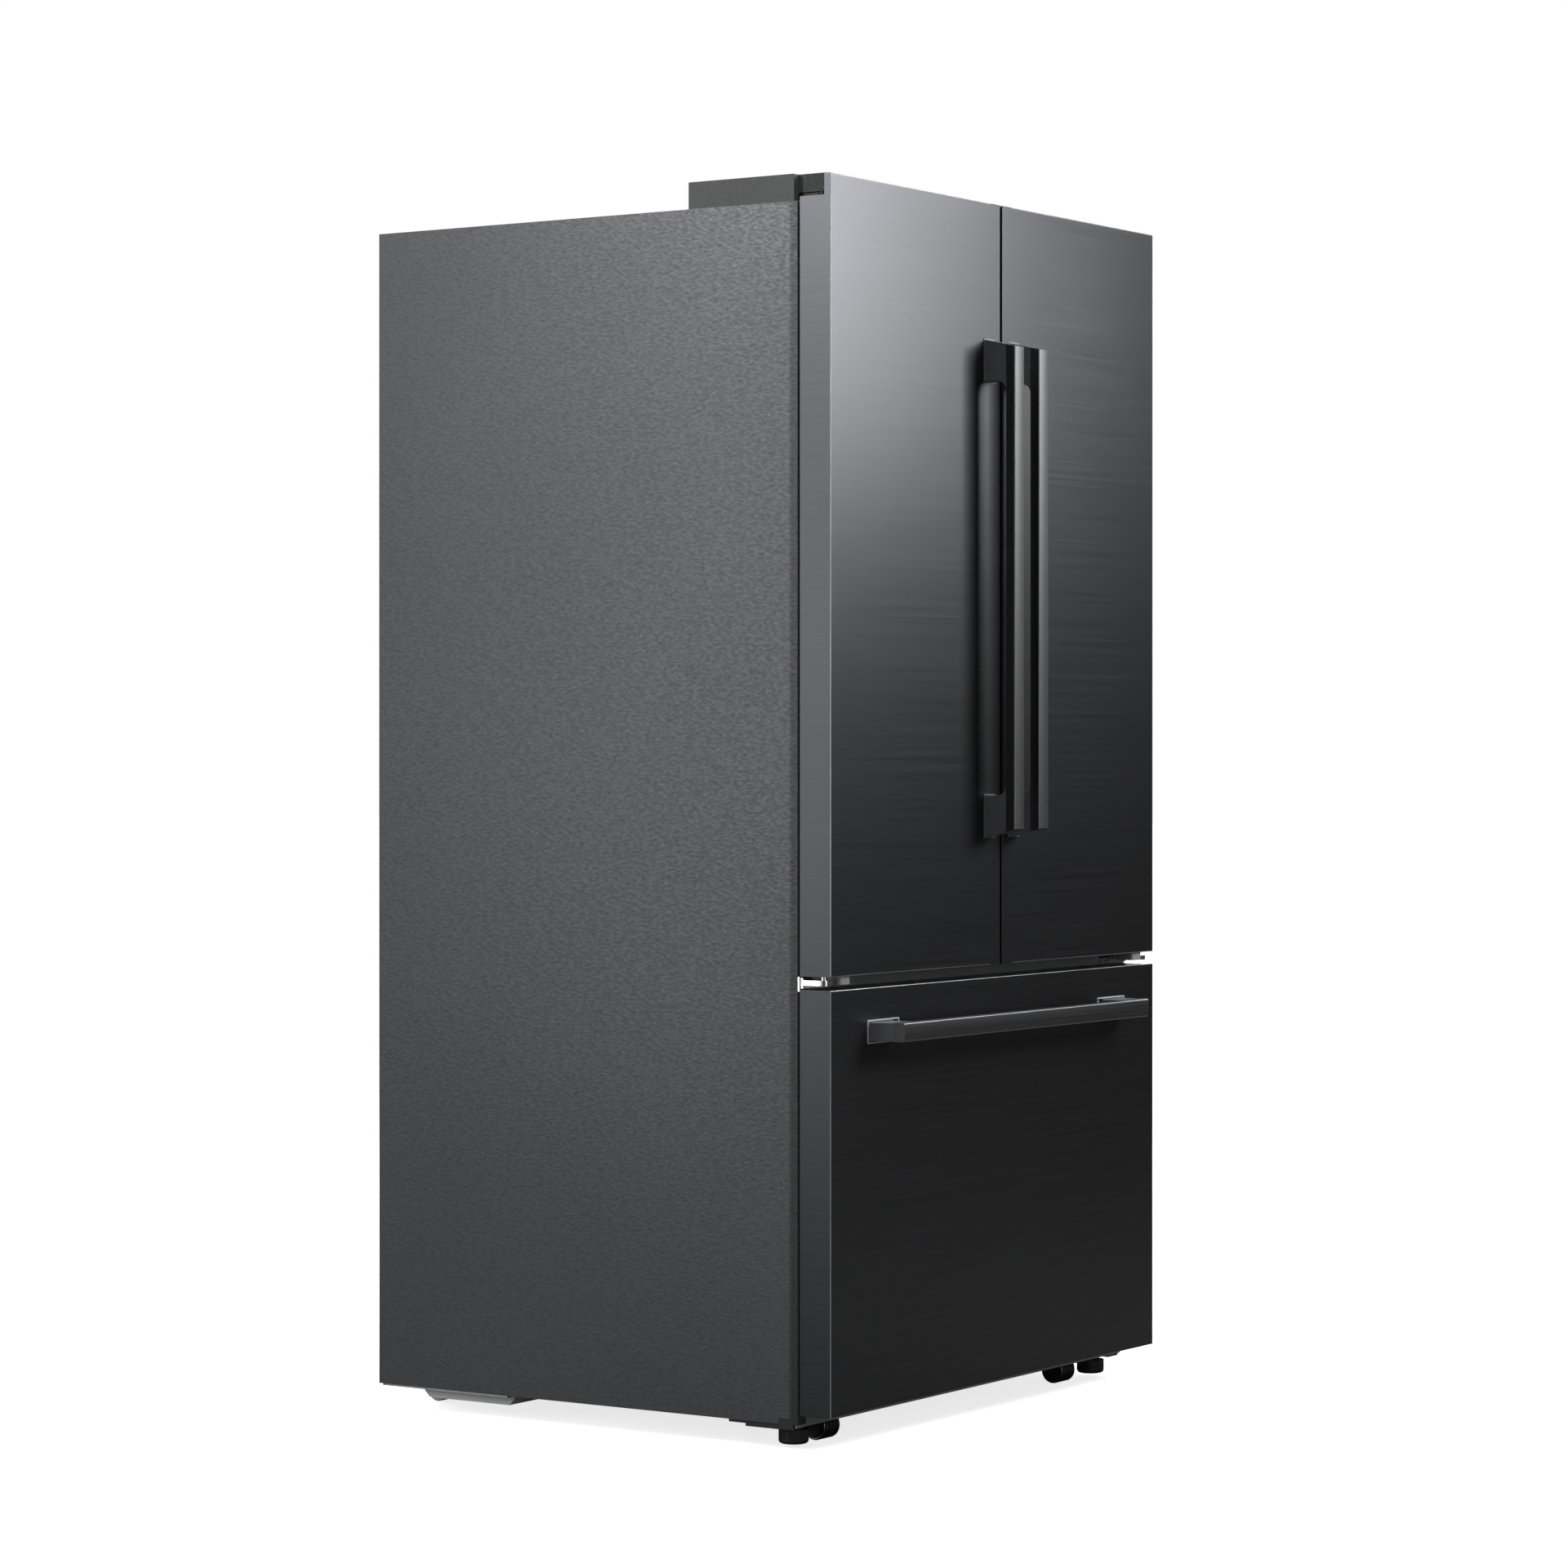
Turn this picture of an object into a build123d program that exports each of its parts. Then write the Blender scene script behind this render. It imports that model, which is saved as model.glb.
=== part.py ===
from build123d import *
import os

# French door refrigerator with a bottom freezer drawer.
# Millimetres. Z is up from the floor, Y runs from front to back and y = 0 is the front plane
# of the case while the parts are drawn. The export moves them so that the origin lies on the
# floor under the middle of the whole object.

# ---------------------------------------------------------------- overall sizes
width = 908.0          # over the side panels, and over the pair of doors
case_depth = 734.0     # front plane of the case to its back
case_bottom = 37.4     # lower edge of the side panels
case_top = 1718.0
half = width / 2

# ---------------------------------------------------------------- doors and drawer front
gasket_gap = 3.4       # between the case and the doors
door_thick = 50.3
door_back = -gasket_gap
door_front = door_back - door_thick
door_split = 6.0       # gap between the two doors
door_bottom = 653.8
door_top = case_top + 5.7
lip_rise = 29.5        # the front sheet rises above the door body
lip_thick = 10.4
drawer_gap = 18.4      # between the doors and the drawer front
drawer_top = door_bottom - drawer_gap
drawer_bottom = 50.9
skin = 1.0             # steel sheet of the door pans
liner = 2.5            # plastic sheet of the door liners
edge_round = 1.4
free_edge = door_split / 2
gasket_bar = 16.0      # width of the seal's frame
gasket_inset = 12.0    # from the hinge side of a door to its seal
stop_x = (half - 57.0, half - 29.0)     # block under each door that meets the hinge
stop_height = 11.6
socket_reach = 11.0    # half width of the bushing blocks round the hinge pins

# ---------------------------------------------------------------- case walls
sheet = 1.2            # steel sheet of the case
return_flange = 18.8   # the side panels fold in behind the doors
top_flange = 20.0      # the top panel folds down behind the doors
liner_sheet = 2.0
side_wall = 52.0       # outside of the case to the inside of the liners
back_wall = 62.0
roof_wall = 53.0
cavity_x = half - side_wall
fresh_floor = door_bottom + 31.2
fresh_ceiling = case_top - roof_wall
fresh_back = case_depth - back_wall
freezer_floor = 112.0
freezer_ceiling = door_bottom - 50.8
machine_depth = 264.0  # space for the compressor, from the back of the case
machine_front = case_depth - machine_depth
machine_top = 299.4
freezer_back = machine_front - 22.0     # below the step over the machine space
step_top = machine_top + 30.6           # the freezer is deeper above this height
deck_z = 69.4          # top of the steel deck under the foam
rail_low = door_bottom - 35.8           # cross rail between the two compartments
rail_high = door_bottom + 18.2
touch = 0.2            # between sheets that lie on each other
seat_gap = 0.3         # between soft or loose pieces and their seats

# ---------------------------------------------------------------- hinges
pivot_x = half - 14.0
pivot_y = door_front + 19.7
pin_r = 5.0
pin_play = 0.05
pin_depth = 18.0
arm_nose = 12.0
plate = 4.0
screw_r = 2.5
screw_play = 0.1
screw_head_r = 4.2
screw_head = 2.2
middle_plate = 2.6     # flange of the middle hinge
middle_flange_z = (drawer_top - 2.4, door_bottom - 0.8)
middle_arm_z = (door_bottom - 12.4, door_bottom - 5.3)
middle_screws = (half - 51.0, half - 69.0)
top_screws = ((half - 30.0, 60.0), (half - 30.0, 120.0), (half - 80.0, 90.0))
top_arm_z = (door_top + 1.3, door_top + 5.3)
cover_wall = 2.5
cover_back = 182.6
cover_front = 6.4
cover_width = 114.0
cover_height = 37.7
tongue_r = 8.8
tongue_rise = 12.5     # underside of the tongue above the case
tongue_x = half - 13.0

# ---------------------------------------------------------------- handles
door_handle = door_top - door_bottom - 352.9    # over the feet of the posts
drawer_handle = width - 191.0
handle_taper = 23.0    # the bar's front is that much shorter
handle_width = 26.4
post_length = 60.0
post_depth = 36.6
post_flare = 16.0
bar_thick = 14.6
bar_crown = 1.2
handle_x = 34.5        # centre of a door handle from the middle of the object
handle_z = (door_bottom + door_top) / 2 + 8.05
drawer_handle_drop = 61.1
rose = 1.0             # thin plate under each post
rose_margin = 1.6

# ---------------------------------------------------------------- running gear
roller_r = 19.0
roller_width = 37.0
roller_x = half - 124.0
roller_side = 1.0      # between a roller and its cheeks
front_roller_y = 42.0
rear_roller_y = case_depth - 25.0
axle_r = 3.0
axle_play = 0.05
cheek = 4.0
cheek_reach = 12.0
foot_x = half - 40.4
foot_y = 33.6
foot_r = 21.0
foot_low = 5.7
foot_high = 26.0
stem_r = 5.0
stem_play = 0.1
stem_length = 38.0
corner_y = (7.8, 32.0)                  # corner block at the foot of each side panel
bracket_z = (2 * roller_r + 7.0, 2 * roller_r + 11.0)
corner_z = (28.8, bracket_z[0] - seat_gap)
base_rail_low = 33.4

# ---------------------------------------------------------------- machine space
base_z = (34.6, 36.8)  # steel base behind the deck
base_top = base_z[1]
base_front = machine_front + 30.0
base_back = case_depth - 6.0
pan_back = rear_roller_y - 41.0
pan_z = (20.0, 34.4)
compressor_x = 244.0 - half
compressor_y = case_depth - 134.0
coil_y = case_depth - 94.0
coil_pitch = 26.0
coil_runs = 8
slot_gap = 20.0        # between the groups of air slots of the rear cover
slot_reach = half - 54.0
gland_x = half - 60.0
gland_z = 62.0
gland_r = 8.0
fan_bore_r = 3.05
fan_pin_r = 3.0
condenser_fan_r = 72.0
condenser_fan_z = base_top + 99.2
evaporator_fan_r = 55.0
evaporator_fan_z = freezer_ceiling - 63.0
evaporator_y = (fresh_back - 80.0, fresh_back - 20.0)
evaporator_z = (step_top + 12.0, freezer_ceiling - 111.0)
fin_reach = cavity_x - 102.0
fin_pitch = 20.0
cover_y = fresh_back - 112.0            # cover in front of the evaporator
return_slots = (40.0, 56.0)             # length and pitch of its air slots

# ---------------------------------------------------------------- fresh food space
tower_half = 100.0
tower_front = fresh_back - 32.0
tower_outlets = (0.278, 0.578, 0.878)   # heights as shares of the tower
shelf_front = 110.0
shelf_back = tower_front - 10.0
shelf_thick = 14.0
glass = 4.0
ledge = 6.0
crisper_front = 152.0
crisper_back = shelf_back - 30.0
crisper_cover_z = fresh_floor + 220.0
shelf_room = fresh_ceiling - crisper_cover_z
shelf_levels = tuple(crisper_cover_z + round(shelf_room * share) for share in (0.3355, 0.678))
bin_room = fresh_ceiling - fresh_floor
bin_levels = tuple(fresh_floor + round(bin_room * share) for share in (0.25, 0.49, 0.73))
bin_height = 105.0
bin_reach = 85.0
bin_corner = 12.0
tub_wall = 2.5
dyke_out = cavity_x - 7.0
dyke_in = 60.0
dyke_width = 28.0
dyke_rise = 30.0
lens_half = 130.0
lens_y = (160.0, 240.0)
panel_half = 95.0      # control panel
panel_y = (38.0, 92.0)

# ---------------------------------------------------------------- mullion flap
flap_x = -40.0
flap_y = 7.0
flap_thick = 12.0
flap_reach = 64.0
flap_z = (fresh_floor + 15.0, fresh_ceiling - 25.0)
flap_pin = 2.5

# ---------------------------------------------------------------- freezer fittings
arm_z = (240.0, 262.0)
rail_z = (225.0, 255.0)
rail_y = (20.0, freezer_back - 8.0)
arm_inset = 50.0       # from the liner's wall to the outside of the bin
basket_rim_z = freezer_ceiling - 141.0
basket_front = 25.0
basket_back = freezer_back - 18.0

mid_y = (door_front - post_depth - bar_thick - bar_crown + case_depth) / 2


# ---------------------------------------------------------------- helpers
def block(x, y, z):
    """A box between two limits on each axis."""
    low = [min(pair) for pair in (x, y, z)]
    high = [max(pair) for pair in (x, y, z)]
    size = [b - a for a, b in zip(low, high)]
    centre = [(a + b) / 2 for a, b in zip(low, high)]
    return Pos(*centre) * Box(*size)


def rod(x, y, z, radius, length, axis="z"):
    """A cylinder that starts at a point and runs along an axis."""
    turn = {"x": Rot(0, 90, 0), "y": Rot(-90, 0, 0), "z": Rot(0, 0, 0)}[axis]
    base = Cylinder(radius, length, align=(Align.CENTER, Align.CENTER, Align.MIN))
    return Pos(x, y, z) * turn * base


def mirrored(shape):
    """The same piece on the other side of the object."""
    return mirror(shape, about=Plane.YZ)


def tub(x, y, z, wall, corner=0.0):
    """An open-topped box; corner rounds its two rear uprights."""
    outside = block(x, y, z)
    inside = block((x[0] + wall, x[1] - wall), (y[0] + wall, y[1] - wall), (z[0] + wall, z[1] + 1))
    if corner:
        outside = fillet(outside.edges().filter_by(Axis.Z).group_by(Axis.Y)[-1], corner)
        inside = fillet(inside.edges().filter_by(Axis.Z).group_by(Axis.Y)[-1], corner - wall)
    return outside - inside


def ring(x, y, z, bar):
    """A frame in the XZ plane with bars of one width."""
    hole = block((x[0] + bar, x[1] - bar), (y[0] - 1, y[1] + 1), (z[0] + bar, z[1] - bar))
    return block(x, y, z) - hole


def save(name, *shapes):
    """Write one node, with each of its pieces as a solid."""
    solids = []
    for shape in shapes:
        solids += (Pos(0, -mid_y, 0) * shape).solids()
    whole = solids[0] if len(solids) == 1 else Compound(children=solids)
    export_step(whole, f"parts/{name}.step")


# ---------------------------------------------------------------- case
def side_panel():
    """Left side panel with its folded front flange, notched for the corner block."""
    outer = block((-half, sheet - half), (0, case_depth), (case_bottom, case_top))
    fold = (sheet - half, sheet - half + return_flange)
    panel = outer + block(fold, (0, sheet), (case_bottom, case_top - sheet - touch))
    corner = panel.edges().filter_by(Axis.Z).sort_by(Axis.X)[0:2].sort_by(Axis.Y)[0]
    panel = fillet(corner, sheet * 0.8)
    notch_y = (corner_y[0] - seat_gap, corner_y[1] + seat_gap)
    notch_z = (case_bottom - 1, corner_z[1] + seat_gap)
    notch = block((-half - 1, 2 * sheet - half), notch_y, notch_z)
    return panel - notch


def top_panel():
    """Flat top sheet with a front flange between those of the sides."""
    inner = half - sheet - touch
    flange_x = half - sheet - return_flange - touch
    flat = block((-inner, inner), (0, case_depth), (case_top - sheet, case_top))
    front = block((-flange_x, flange_x), (0, sheet), (case_top - top_flange, case_top - sheet))
    return flat + front


def back_panel():
    """Flat back sheet above the machine space."""
    inner = half - sheet - touch
    y = (case_depth - sheet, case_depth)
    return block((-inner, inner), y, (machine_top, case_top - sheet - touch))


def deck():
    """Stepped steel deck under the foam and over the machine space."""
    inner = (sheet + touch - half, half - sheet - touch)
    floor = block(inner, (sheet + touch, machine_front + sheet), (deck_z - sheet, deck_z))
    riser = block(inner, (machine_front, machine_front + sheet), (deck_z, machine_top))
    roof_y = (machine_front, case_depth - sheet - touch)
    return floor + riser + block(inner, roof_y, (machine_top - sheet, machine_top))


def liner_shape(inset):
    """Space of the two liners: inset 0 gives the inside, and the sheet's thickness the outside."""
    x = (-cavity_x - inset, cavity_x + inset)
    front = -1.0 if inset == 0 else 0.0
    fresh = block(x, (front, fresh_back + inset), (fresh_floor - inset, fresh_ceiling + inset))
    low_z = (freezer_floor - inset, freezer_ceiling + inset)
    low = block(x, (front, freezer_back + inset), low_z)
    high_z = (step_top - inset, freezer_ceiling + inset)
    return fresh, low + block(x, (front, fresh_back + inset), high_z)


def liners():
    """The two thermoformed liners, with their front flanges and the ledges on their side walls."""
    fresh_outer, freezer_outer = liner_shape(liner_sheet)
    fresh_inner, freezer_inner = liner_shape(0)
    edge = half - sheet - return_flange - touch
    fresh_z = (rail_high + touch, case_top - top_flange - touch)
    freezer_z = (deck_z + touch, rail_low - touch)
    fresh = fresh_outer + block((-edge, edge), (0, liner_sheet), fresh_z) - fresh_inner
    freezer = freezer_outer + block((-edge, edge), (0, liner_sheet), freezer_z) - freezer_inner
    for side in (-1, 1):
        x = (side * cavity_x, side * (cavity_x - 8))
        for level in (*shelf_levels, crisper_cover_z):
            top = level - shelf_thick
            fresh += block(x, (shelf_front, tower_front), (top - ledge, top))
        x = (side * cavity_x, side * (cavity_x - 22))
        ledge_z = (basket_rim_z - 8 - seat_gap, basket_rim_z - seat_gap)
        freezer += block(x, (basket_front, freezer_back), ledge_z)
    return fresh, freezer


def cabinet_foam():
    """Rigid foam between the outer sheets and the liners."""
    x = (sheet - half, half - sheet)
    whole = block(x, (liner_sheet, case_depth - sheet), (deck_z, case_top - sheet))
    machine = block((-half, half), (machine_front, case_depth), (0, machine_top))
    fresh, freezer = liner_shape(liner_sheet)
    return whole - machine - fresh - freezer


def front_rails():
    """The rail between the compartments and the base rail under the freezer."""
    cross_x = half - sheet - return_flange - touch
    cross = block((-cross_x, cross_x), (0, liner_sheet), (rail_low, rail_high))
    base_x = half - sheet - touch
    deck_under = deck_z - sheet - touch
    base = block((-base_x, base_x), (3, 5), (base_rail_low, deck_under))
    for side in (-1, 1):
        base -= rod(side * (half - 22), 2, 52, screw_r, 4, "y")
    return cross, base + block((-base_x, base_x), (5, 7), (deck_under - 2, deck_under))


# ---------------------------------------------------------------- hinges
def middle_hinge():
    """Left middle hinge: a flange on the case front, an arm and the upward pin of the door."""
    low, high = middle_arm_z
    arm_x = (-half + 2, -pivot_x + arm_nose)
    flange = block((-half, -half + 80), (-middle_plate, 0), middle_flange_z)
    root = block(arm_x, (-7, -middle_plate), (low - 4, high + 3))
    arm = block(arm_x, (pivot_y, -middle_plate), middle_arm_z)
    nose = rod(-pivot_x, pivot_y, low, arm_nose, high - low)
    pin = rod(-pivot_x, pivot_y, high, pin_r, door_bottom + pin_depth - high)
    hinge = flange + root + arm + nose + pin
    for x in middle_screws:
        hinge -= rod(-x, -4, sum(middle_flange_z) / 2, screw_r + screw_play, 6, "y")
    return hinge


def top_hinge():
    """Left top hinge: a plate on the case, a raised arm and the downward pin of the door."""
    base = block((-tongue_x + 1, -half + 100), (12, 150), (case_top, case_top + plate))
    low, high = top_arm_z
    arm_x = (-tongue_x + 0.5, -tongue_x + 2 * tongue_r - 1.6)
    riser = block(arm_x, (12, 22), (case_top, high))
    arm = block(arm_x, (pivot_y, 22), top_arm_z)
    nose = rod(-pivot_x, pivot_y, low, 8, high - low)
    pin = rod(-pivot_x, pivot_y, door_top - pin_depth, pin_r, low - door_top + pin_depth)
    hinge = base + riser + arm + nose + pin
    for x, y in top_screws:
        hinge -= rod(-x, y, case_top - 1, screw_r + screw_play, plate + 2)
    return hinge


def hinge_cover():
    """Left plastic cover over the top hinge, with a tongue that reaches over the pin."""
    z = (case_top, case_top + cover_height)
    x = (-half, -half + cover_width)
    body = block(x, (cover_front, cover_back), z)
    tongue_z = (case_top + tongue_rise, z[1])
    nose_x = -tongue_x + tongue_r
    tongue = block((-tongue_x, -tongue_x + 2 * tongue_r), (pivot_y, cover_front + 1), tongue_z)
    tongue += rod(nose_x, pivot_y, tongue_z[0], tongue_r, tongue_z[1] - tongue_z[0])
    cover = body + tongue
    cover = fillet(cover.edges().group_by(Axis.Z)[-1], 1.2)
    inner_x = (x[0] + cover_wall, x[1] - cover_wall)
    inner_y = (cover_front + cover_wall, cover_back - cover_wall)
    cover -= block(inner_x, inner_y, (z[0] - 1, z[1] - cover_wall))
    slot_x = (-tongue_x - 0.5, -tongue_x + 2 * tongue_r + 0.5)
    return cover - block(slot_x, (cover_front - 1, cover_front + 5), (z[0] - 1, tongue_z[0]))


def screw(x, y, z, axis, grip):
    """Round-head screw whose shank ends under its plate; axis points from the head inwards."""
    turn = {"y": Rot(-90, 0, 0), "-z": Rot(180, 0, 0)}[axis]
    head = Cylinder(screw_head_r, screw_head, align=(Align.CENTER, Align.CENTER, Align.MAX))
    shank = Cylinder(screw_r, grip, align=(Align.CENTER, Align.CENTER, Align.MIN))
    cross = Box(4.6, 1.0, 1.6) + Box(1.0, 4.6, 1.6)
    return Pos(x, y, z) * turn * (head + shank - Pos(0, 0, -screw_head) * cross)


# ---------------------------------------------------------------- doors
def door_skin(x, z, lip):
    """Steel pan of a door or of the drawer front, open towards the case."""
    outer = block(x, (door_front, door_back), z)
    if lip:
        outer += block(x, (door_front, door_front + lip_thick), (z[1] - 1, z[1] + lip_rise))
    outer = fillet(outer.edges().group_by(Axis.Y)[0], edge_round)
    inside_x = (x[0] + skin, x[1] - skin)
    return outer - block(inside_x, (door_front + skin, 1), (z[0] + skin, z[1] - skin))


def door_liner(x, z, dyke_x, dyke_z, dyke_y):
    """Plastic pan that closes the back of a skin, with a raised dyke round its bins."""
    low_x, high_x = x[0] + skin, x[1] - skin
    low_z, high_z = z[0] + skin, z[1] - skin
    pan = block((low_x, high_x), (door_front + skin, door_back), (low_z, high_z))
    room_x = (low_x + liner, high_x - liner)
    room_z = (low_z + liner, high_z - liner)
    pan -= block(room_x, (door_front, door_back - liner), room_z)
    return pan + ring(dyke_x, (door_back, dyke_y), dyke_z, dyke_width)


def pin_sockets(x, z):
    """Bushing blocks at both ends of a door's hinge side, and the holes through them."""
    blocks = Part()
    holes = Part()
    side = (x[0] - socket_reach, x[0] + socket_reach)
    y = (pivot_y - socket_reach, pivot_y + socket_reach)
    for end, inward in ((z[0], 1), (z[1], -1)):
        blocks += block(side, y, (end + inward * skin, end + inward * (pin_depth + 6)))
        start = end - 1 if inward > 0 else end - pin_depth - 2
        holes += rod(x[0], pivot_y, start, pin_r + pin_play, pin_depth + 3)
    return blocks, holes


def gasket(x, z):
    """Magnetic door seal."""
    return ring(x, (door_back, -seat_gap), z, gasket_bar)


def left_door():
    """The left door's skin, liner, gasket and bins; the right door is its mirror image."""
    x = (-half, -free_edge)
    z = (door_bottom, door_top)
    dyke_x = (-dyke_out, -dyke_in)
    dyke_z = (fresh_floor + 12, fresh_ceiling - 12)
    blocks, holes = pin_sockets((-pivot_x, 0), z)
    shell = door_skin(x, z, lip=True)
    for end in z:
        shell -= rod(-pivot_x, pivot_y, end - 3, 9.0, 6)
    inner = door_liner(x, z, dyke_x, dyke_z, dyke_rise) + blocks - holes
    stop_y = (door_front + 3.7, door_front + 33.7)
    stop = block((-stop_x[1], -stop_x[0]), stop_y, (door_bottom - stop_height, door_bottom))
    stop = fillet(stop.edges().filter_by(Axis.Z), 5)
    seal = gasket((-half + gasket_inset, -free_edge - 5), (door_bottom + 4, case_top - 6))
    rack = []
    bin_x = (-dyke_out + dyke_width + seat_gap, -dyke_in - dyke_width - seat_gap)
    for level in bin_levels:
        z_range = (level, level + bin_height)
        rack.append(tub(bin_x, (door_back + seat_gap, bin_reach), z_range, tub_wall, bin_corner))
    return shell, inner, stop, seal, rack


# ---------------------------------------------------------------- mullion flap
def mullion_flap():
    """Flap on the left door that closes the gap between the doors, folded into the case."""
    thick = flap_thick / 2
    low, high = flap_z
    leaf = block((flap_x - thick, flap_x + thick), (flap_y, flap_y + flap_reach), flap_z)
    leaf = fillet(leaf.edges().filter_by(Axis.Z).group_by(Axis.Y)[-1], 3)
    knuckle = rod(flap_x, flap_y, low, thick, high - low)
    return leaf + knuckle + rod(flap_x, flap_y, low - 8, flap_pin, high - low + 16)


def flap_lugs():
    """Lugs of the left door's liner that hold the flap's pins."""
    thick = flap_thick / 2
    lugs = Part()
    lower = (flap_z[0] - 10, flap_z[0] - seat_gap)
    upper = (flap_z[1] + seat_gap, flap_z[1] + 10)
    for low, high in (lower, upper):
        lug = block((flap_x - thick, flap_x + thick), (door_back, flap_y), (low, high))
        lug += rod(flap_x, flap_y, low, thick, high - low)
        lugs += lug - rod(flap_x, flap_y, low - 1, flap_pin + pin_play, high - low + 2)
    return lugs


# ---------------------------------------------------------------- handles
def handle(length):
    """A bar handle along Z on a face at y = 0, reaching towards -Y: bar, then two posts."""
    foot = length / 2
    tip = (length - handle_taper) / 2
    back = -post_depth
    front = back - bar_thick
    slope = (foot - tip) / -front

    def end_z(y):
        return foot + slope * y

    side = handle_width / 2
    outline = Polyline((side, front), (side, back), (-side, back), (-side, front))
    crown = ThreePointArc((-side, front), (0, front - bar_crown), (side, front))
    section = make_face(outline + crown)
    section = fillet(section.vertices().group_by(Axis.Y)[0], 2.4)
    bar = Pos(0, 0, -foot) * extrude(section, 2 * foot)
    far = front - bar_crown - 1
    corners = ((back, end_z(back)), (far, end_z(far)), (far, -end_z(far)), (back, -end_z(back)))
    ends = Plane.YZ * make_face(Polyline(*corners, close=True))
    bar = bar & extrude(ends, side + 1, both=True)
    for sign in (-1, 1):
        groove_x = (sign * (side - 0.7), sign * (side + 1))
        bar -= block(groove_x, (front + 4.6, front + 5.4), (-foot, foot))
    inner = foot - post_length
    lines = Polyline((back, inner - post_flare), (back, end_z(back)), (0, foot), (0, inner))
    lines += Line((0, inner), (back + post_flare, inner))
    heel = (back + post_flare, inner)
    middle = (back + post_flare * 0.293, inner - post_flare * 0.293)
    lines += ThreePointArc(heel, middle, (back, inner - post_flare))
    profile = Plane.YZ * make_face(lines)
    post = extrude(profile, side - 0.6, both=True)
    margin = side + rose_margin
    post += block((-margin, margin), (-rose, 0), (inner - rose_margin, foot + rose_margin))
    return bar, (post, mirror(post, about=Plane.XY))


# ---------------------------------------------------------------- running gear
def roller(x, y):
    """Ribbed drum with its axle stubs."""
    drum = Pos(x, y, roller_r) * Rot(0, 90, 0) * Cylinder(roller_r, roller_width)
    drum = fillet(drum.edges().filter_by(GeomType.CIRCLE), 1.5)
    groove = Cylinder(roller_r + 1, 2.4) - Cylinder(roller_r - 1.2, 2.4)
    for shift in (-9, 0, 9):
        drum -= Pos(x + shift, y, roller_r) * Rot(0, 90, 0) * groove
    reach = roller_width / 2 + roller_side + cheek
    return drum + rod(x - reach, y, roller_r, axle_r, 2 * reach, "x")


def roller_cheeks(x, y, top):
    """The two cheeks that carry a roller's axle."""
    cheeks = Part()
    for side in (-1, 1):
        near = x + side * (roller_width / 2 + roller_side)
        far = near + side * cheek
        leg = block((near, far), (y - cheek_reach, y + cheek_reach), (roller_r, top))
        low = rod(min(near, far), y, roller_r, cheek_reach, cheek, "x")
        cheeks += leg + low
    reach = roller_width + 4 * cheek
    return cheeks - rod(x - reach / 2, y, roller_r, axle_r + axle_play, reach, "x")


def front_bracket():
    """Left front leg bracket: corner block, skid, roller cheeks and the foot's threaded boss."""
    under = case_bottom - touch
    deck_under = deck_z - sheet - touch
    low = bracket_z[0]
    corner_x = (-half, -half + 30)
    skid_x = (-half + 2, -half + 24)
    inner_x = -half + 3
    back = front_roller_y + roller_r + 9
    shelf = block((inner_x, -roller_x + 60), (10, back), bracket_z)
    corner = block(corner_x, corner_y, corner_z)
    corner = fillet(corner.edges().group_by(Axis.Z)[0], 2)
    post = block((inner_x, corner_x[1]), (10, corner_y[1]), (low - 1, deck_under))
    skid = block(skid_x, (30, 88), (29.5, under))
    tail = block(skid_x, (88, 116), (base_rail_low, under))
    web = block((inner_x, skid_x[1]), (corner_y[1], back), (under, low + 1))
    boss = rod(-foot_x, foot_y, low, 11, deck_under - low)
    bracket = shelf + corner + post + skid + tail + web + boss
    bracket += roller_cheeks(-roller_x, front_roller_y, low + 1)
    bracket += block((-roller_x - 62, -roller_x + 60), (back - 4, back), (20, low + 1))
    clear = stem_r + stem_play
    return bracket - rod(-foot_x, foot_y, 20, clear, deck_under - 22)


def foot():
    """Left levelling foot: a ribbed knob on a threaded stem."""
    knob = rod(-foot_x, foot_y, foot_low, foot_r, foot_high - foot_low)
    rims = knob.edges().filter_by(GeomType.CIRCLE)
    knob = fillet(rims.sort_by(Axis.Z)[0], 5)
    flute = rod(0, 0, 0, 1.5, 20)
    for spot in PolarLocations(foot_r + 0.4, 24):
        knob -= Pos(-foot_x, foot_y, 12) * spot * flute
    return knob + rod(-foot_x, foot_y, foot_high, stem_r, stem_length)


# ---------------------------------------------------------------- machine space
def machine_base():
    """Steel base of the machine space, with the cheeks of the rear rollers."""
    inner = half - sheet - touch
    y = (base_front, base_back)
    base = block((-inner, inner), y, base_z)
    for side in (-1, 1):
        base += block((side * inner, side * (inner - 2)), y, (base_top, 60))
    slot = roller_width / 2 + roller_side
    slot_y = (rear_roller_y - roller_r - 3, base_back + 1)
    for side in (-1, 1):
        x = side * roller_x
        base -= block((x - slot, x + slot), slot_y, (base_z[0] - 1, base_top + 1))
        base += roller_cheeks(x, rear_roller_y, base_top)
    return base


def drain_pan():
    """Shallow pan that hangs under the base."""
    x = (-half + 24, half - 24)
    wall = 2.0
    pan = block(x, (base_front + 5, pan_back), pan_z)
    pan = chamfer(pan.edges().group_by(Axis.Z)[0].filter_by(Axis.X), 9)
    room_z = (pan_z[0] + wall, pan_z[1] + 1)
    return pan - block((x[0] + wall, x[1] - wall), (base_front + 15, pan_back - 10), room_z)


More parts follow.
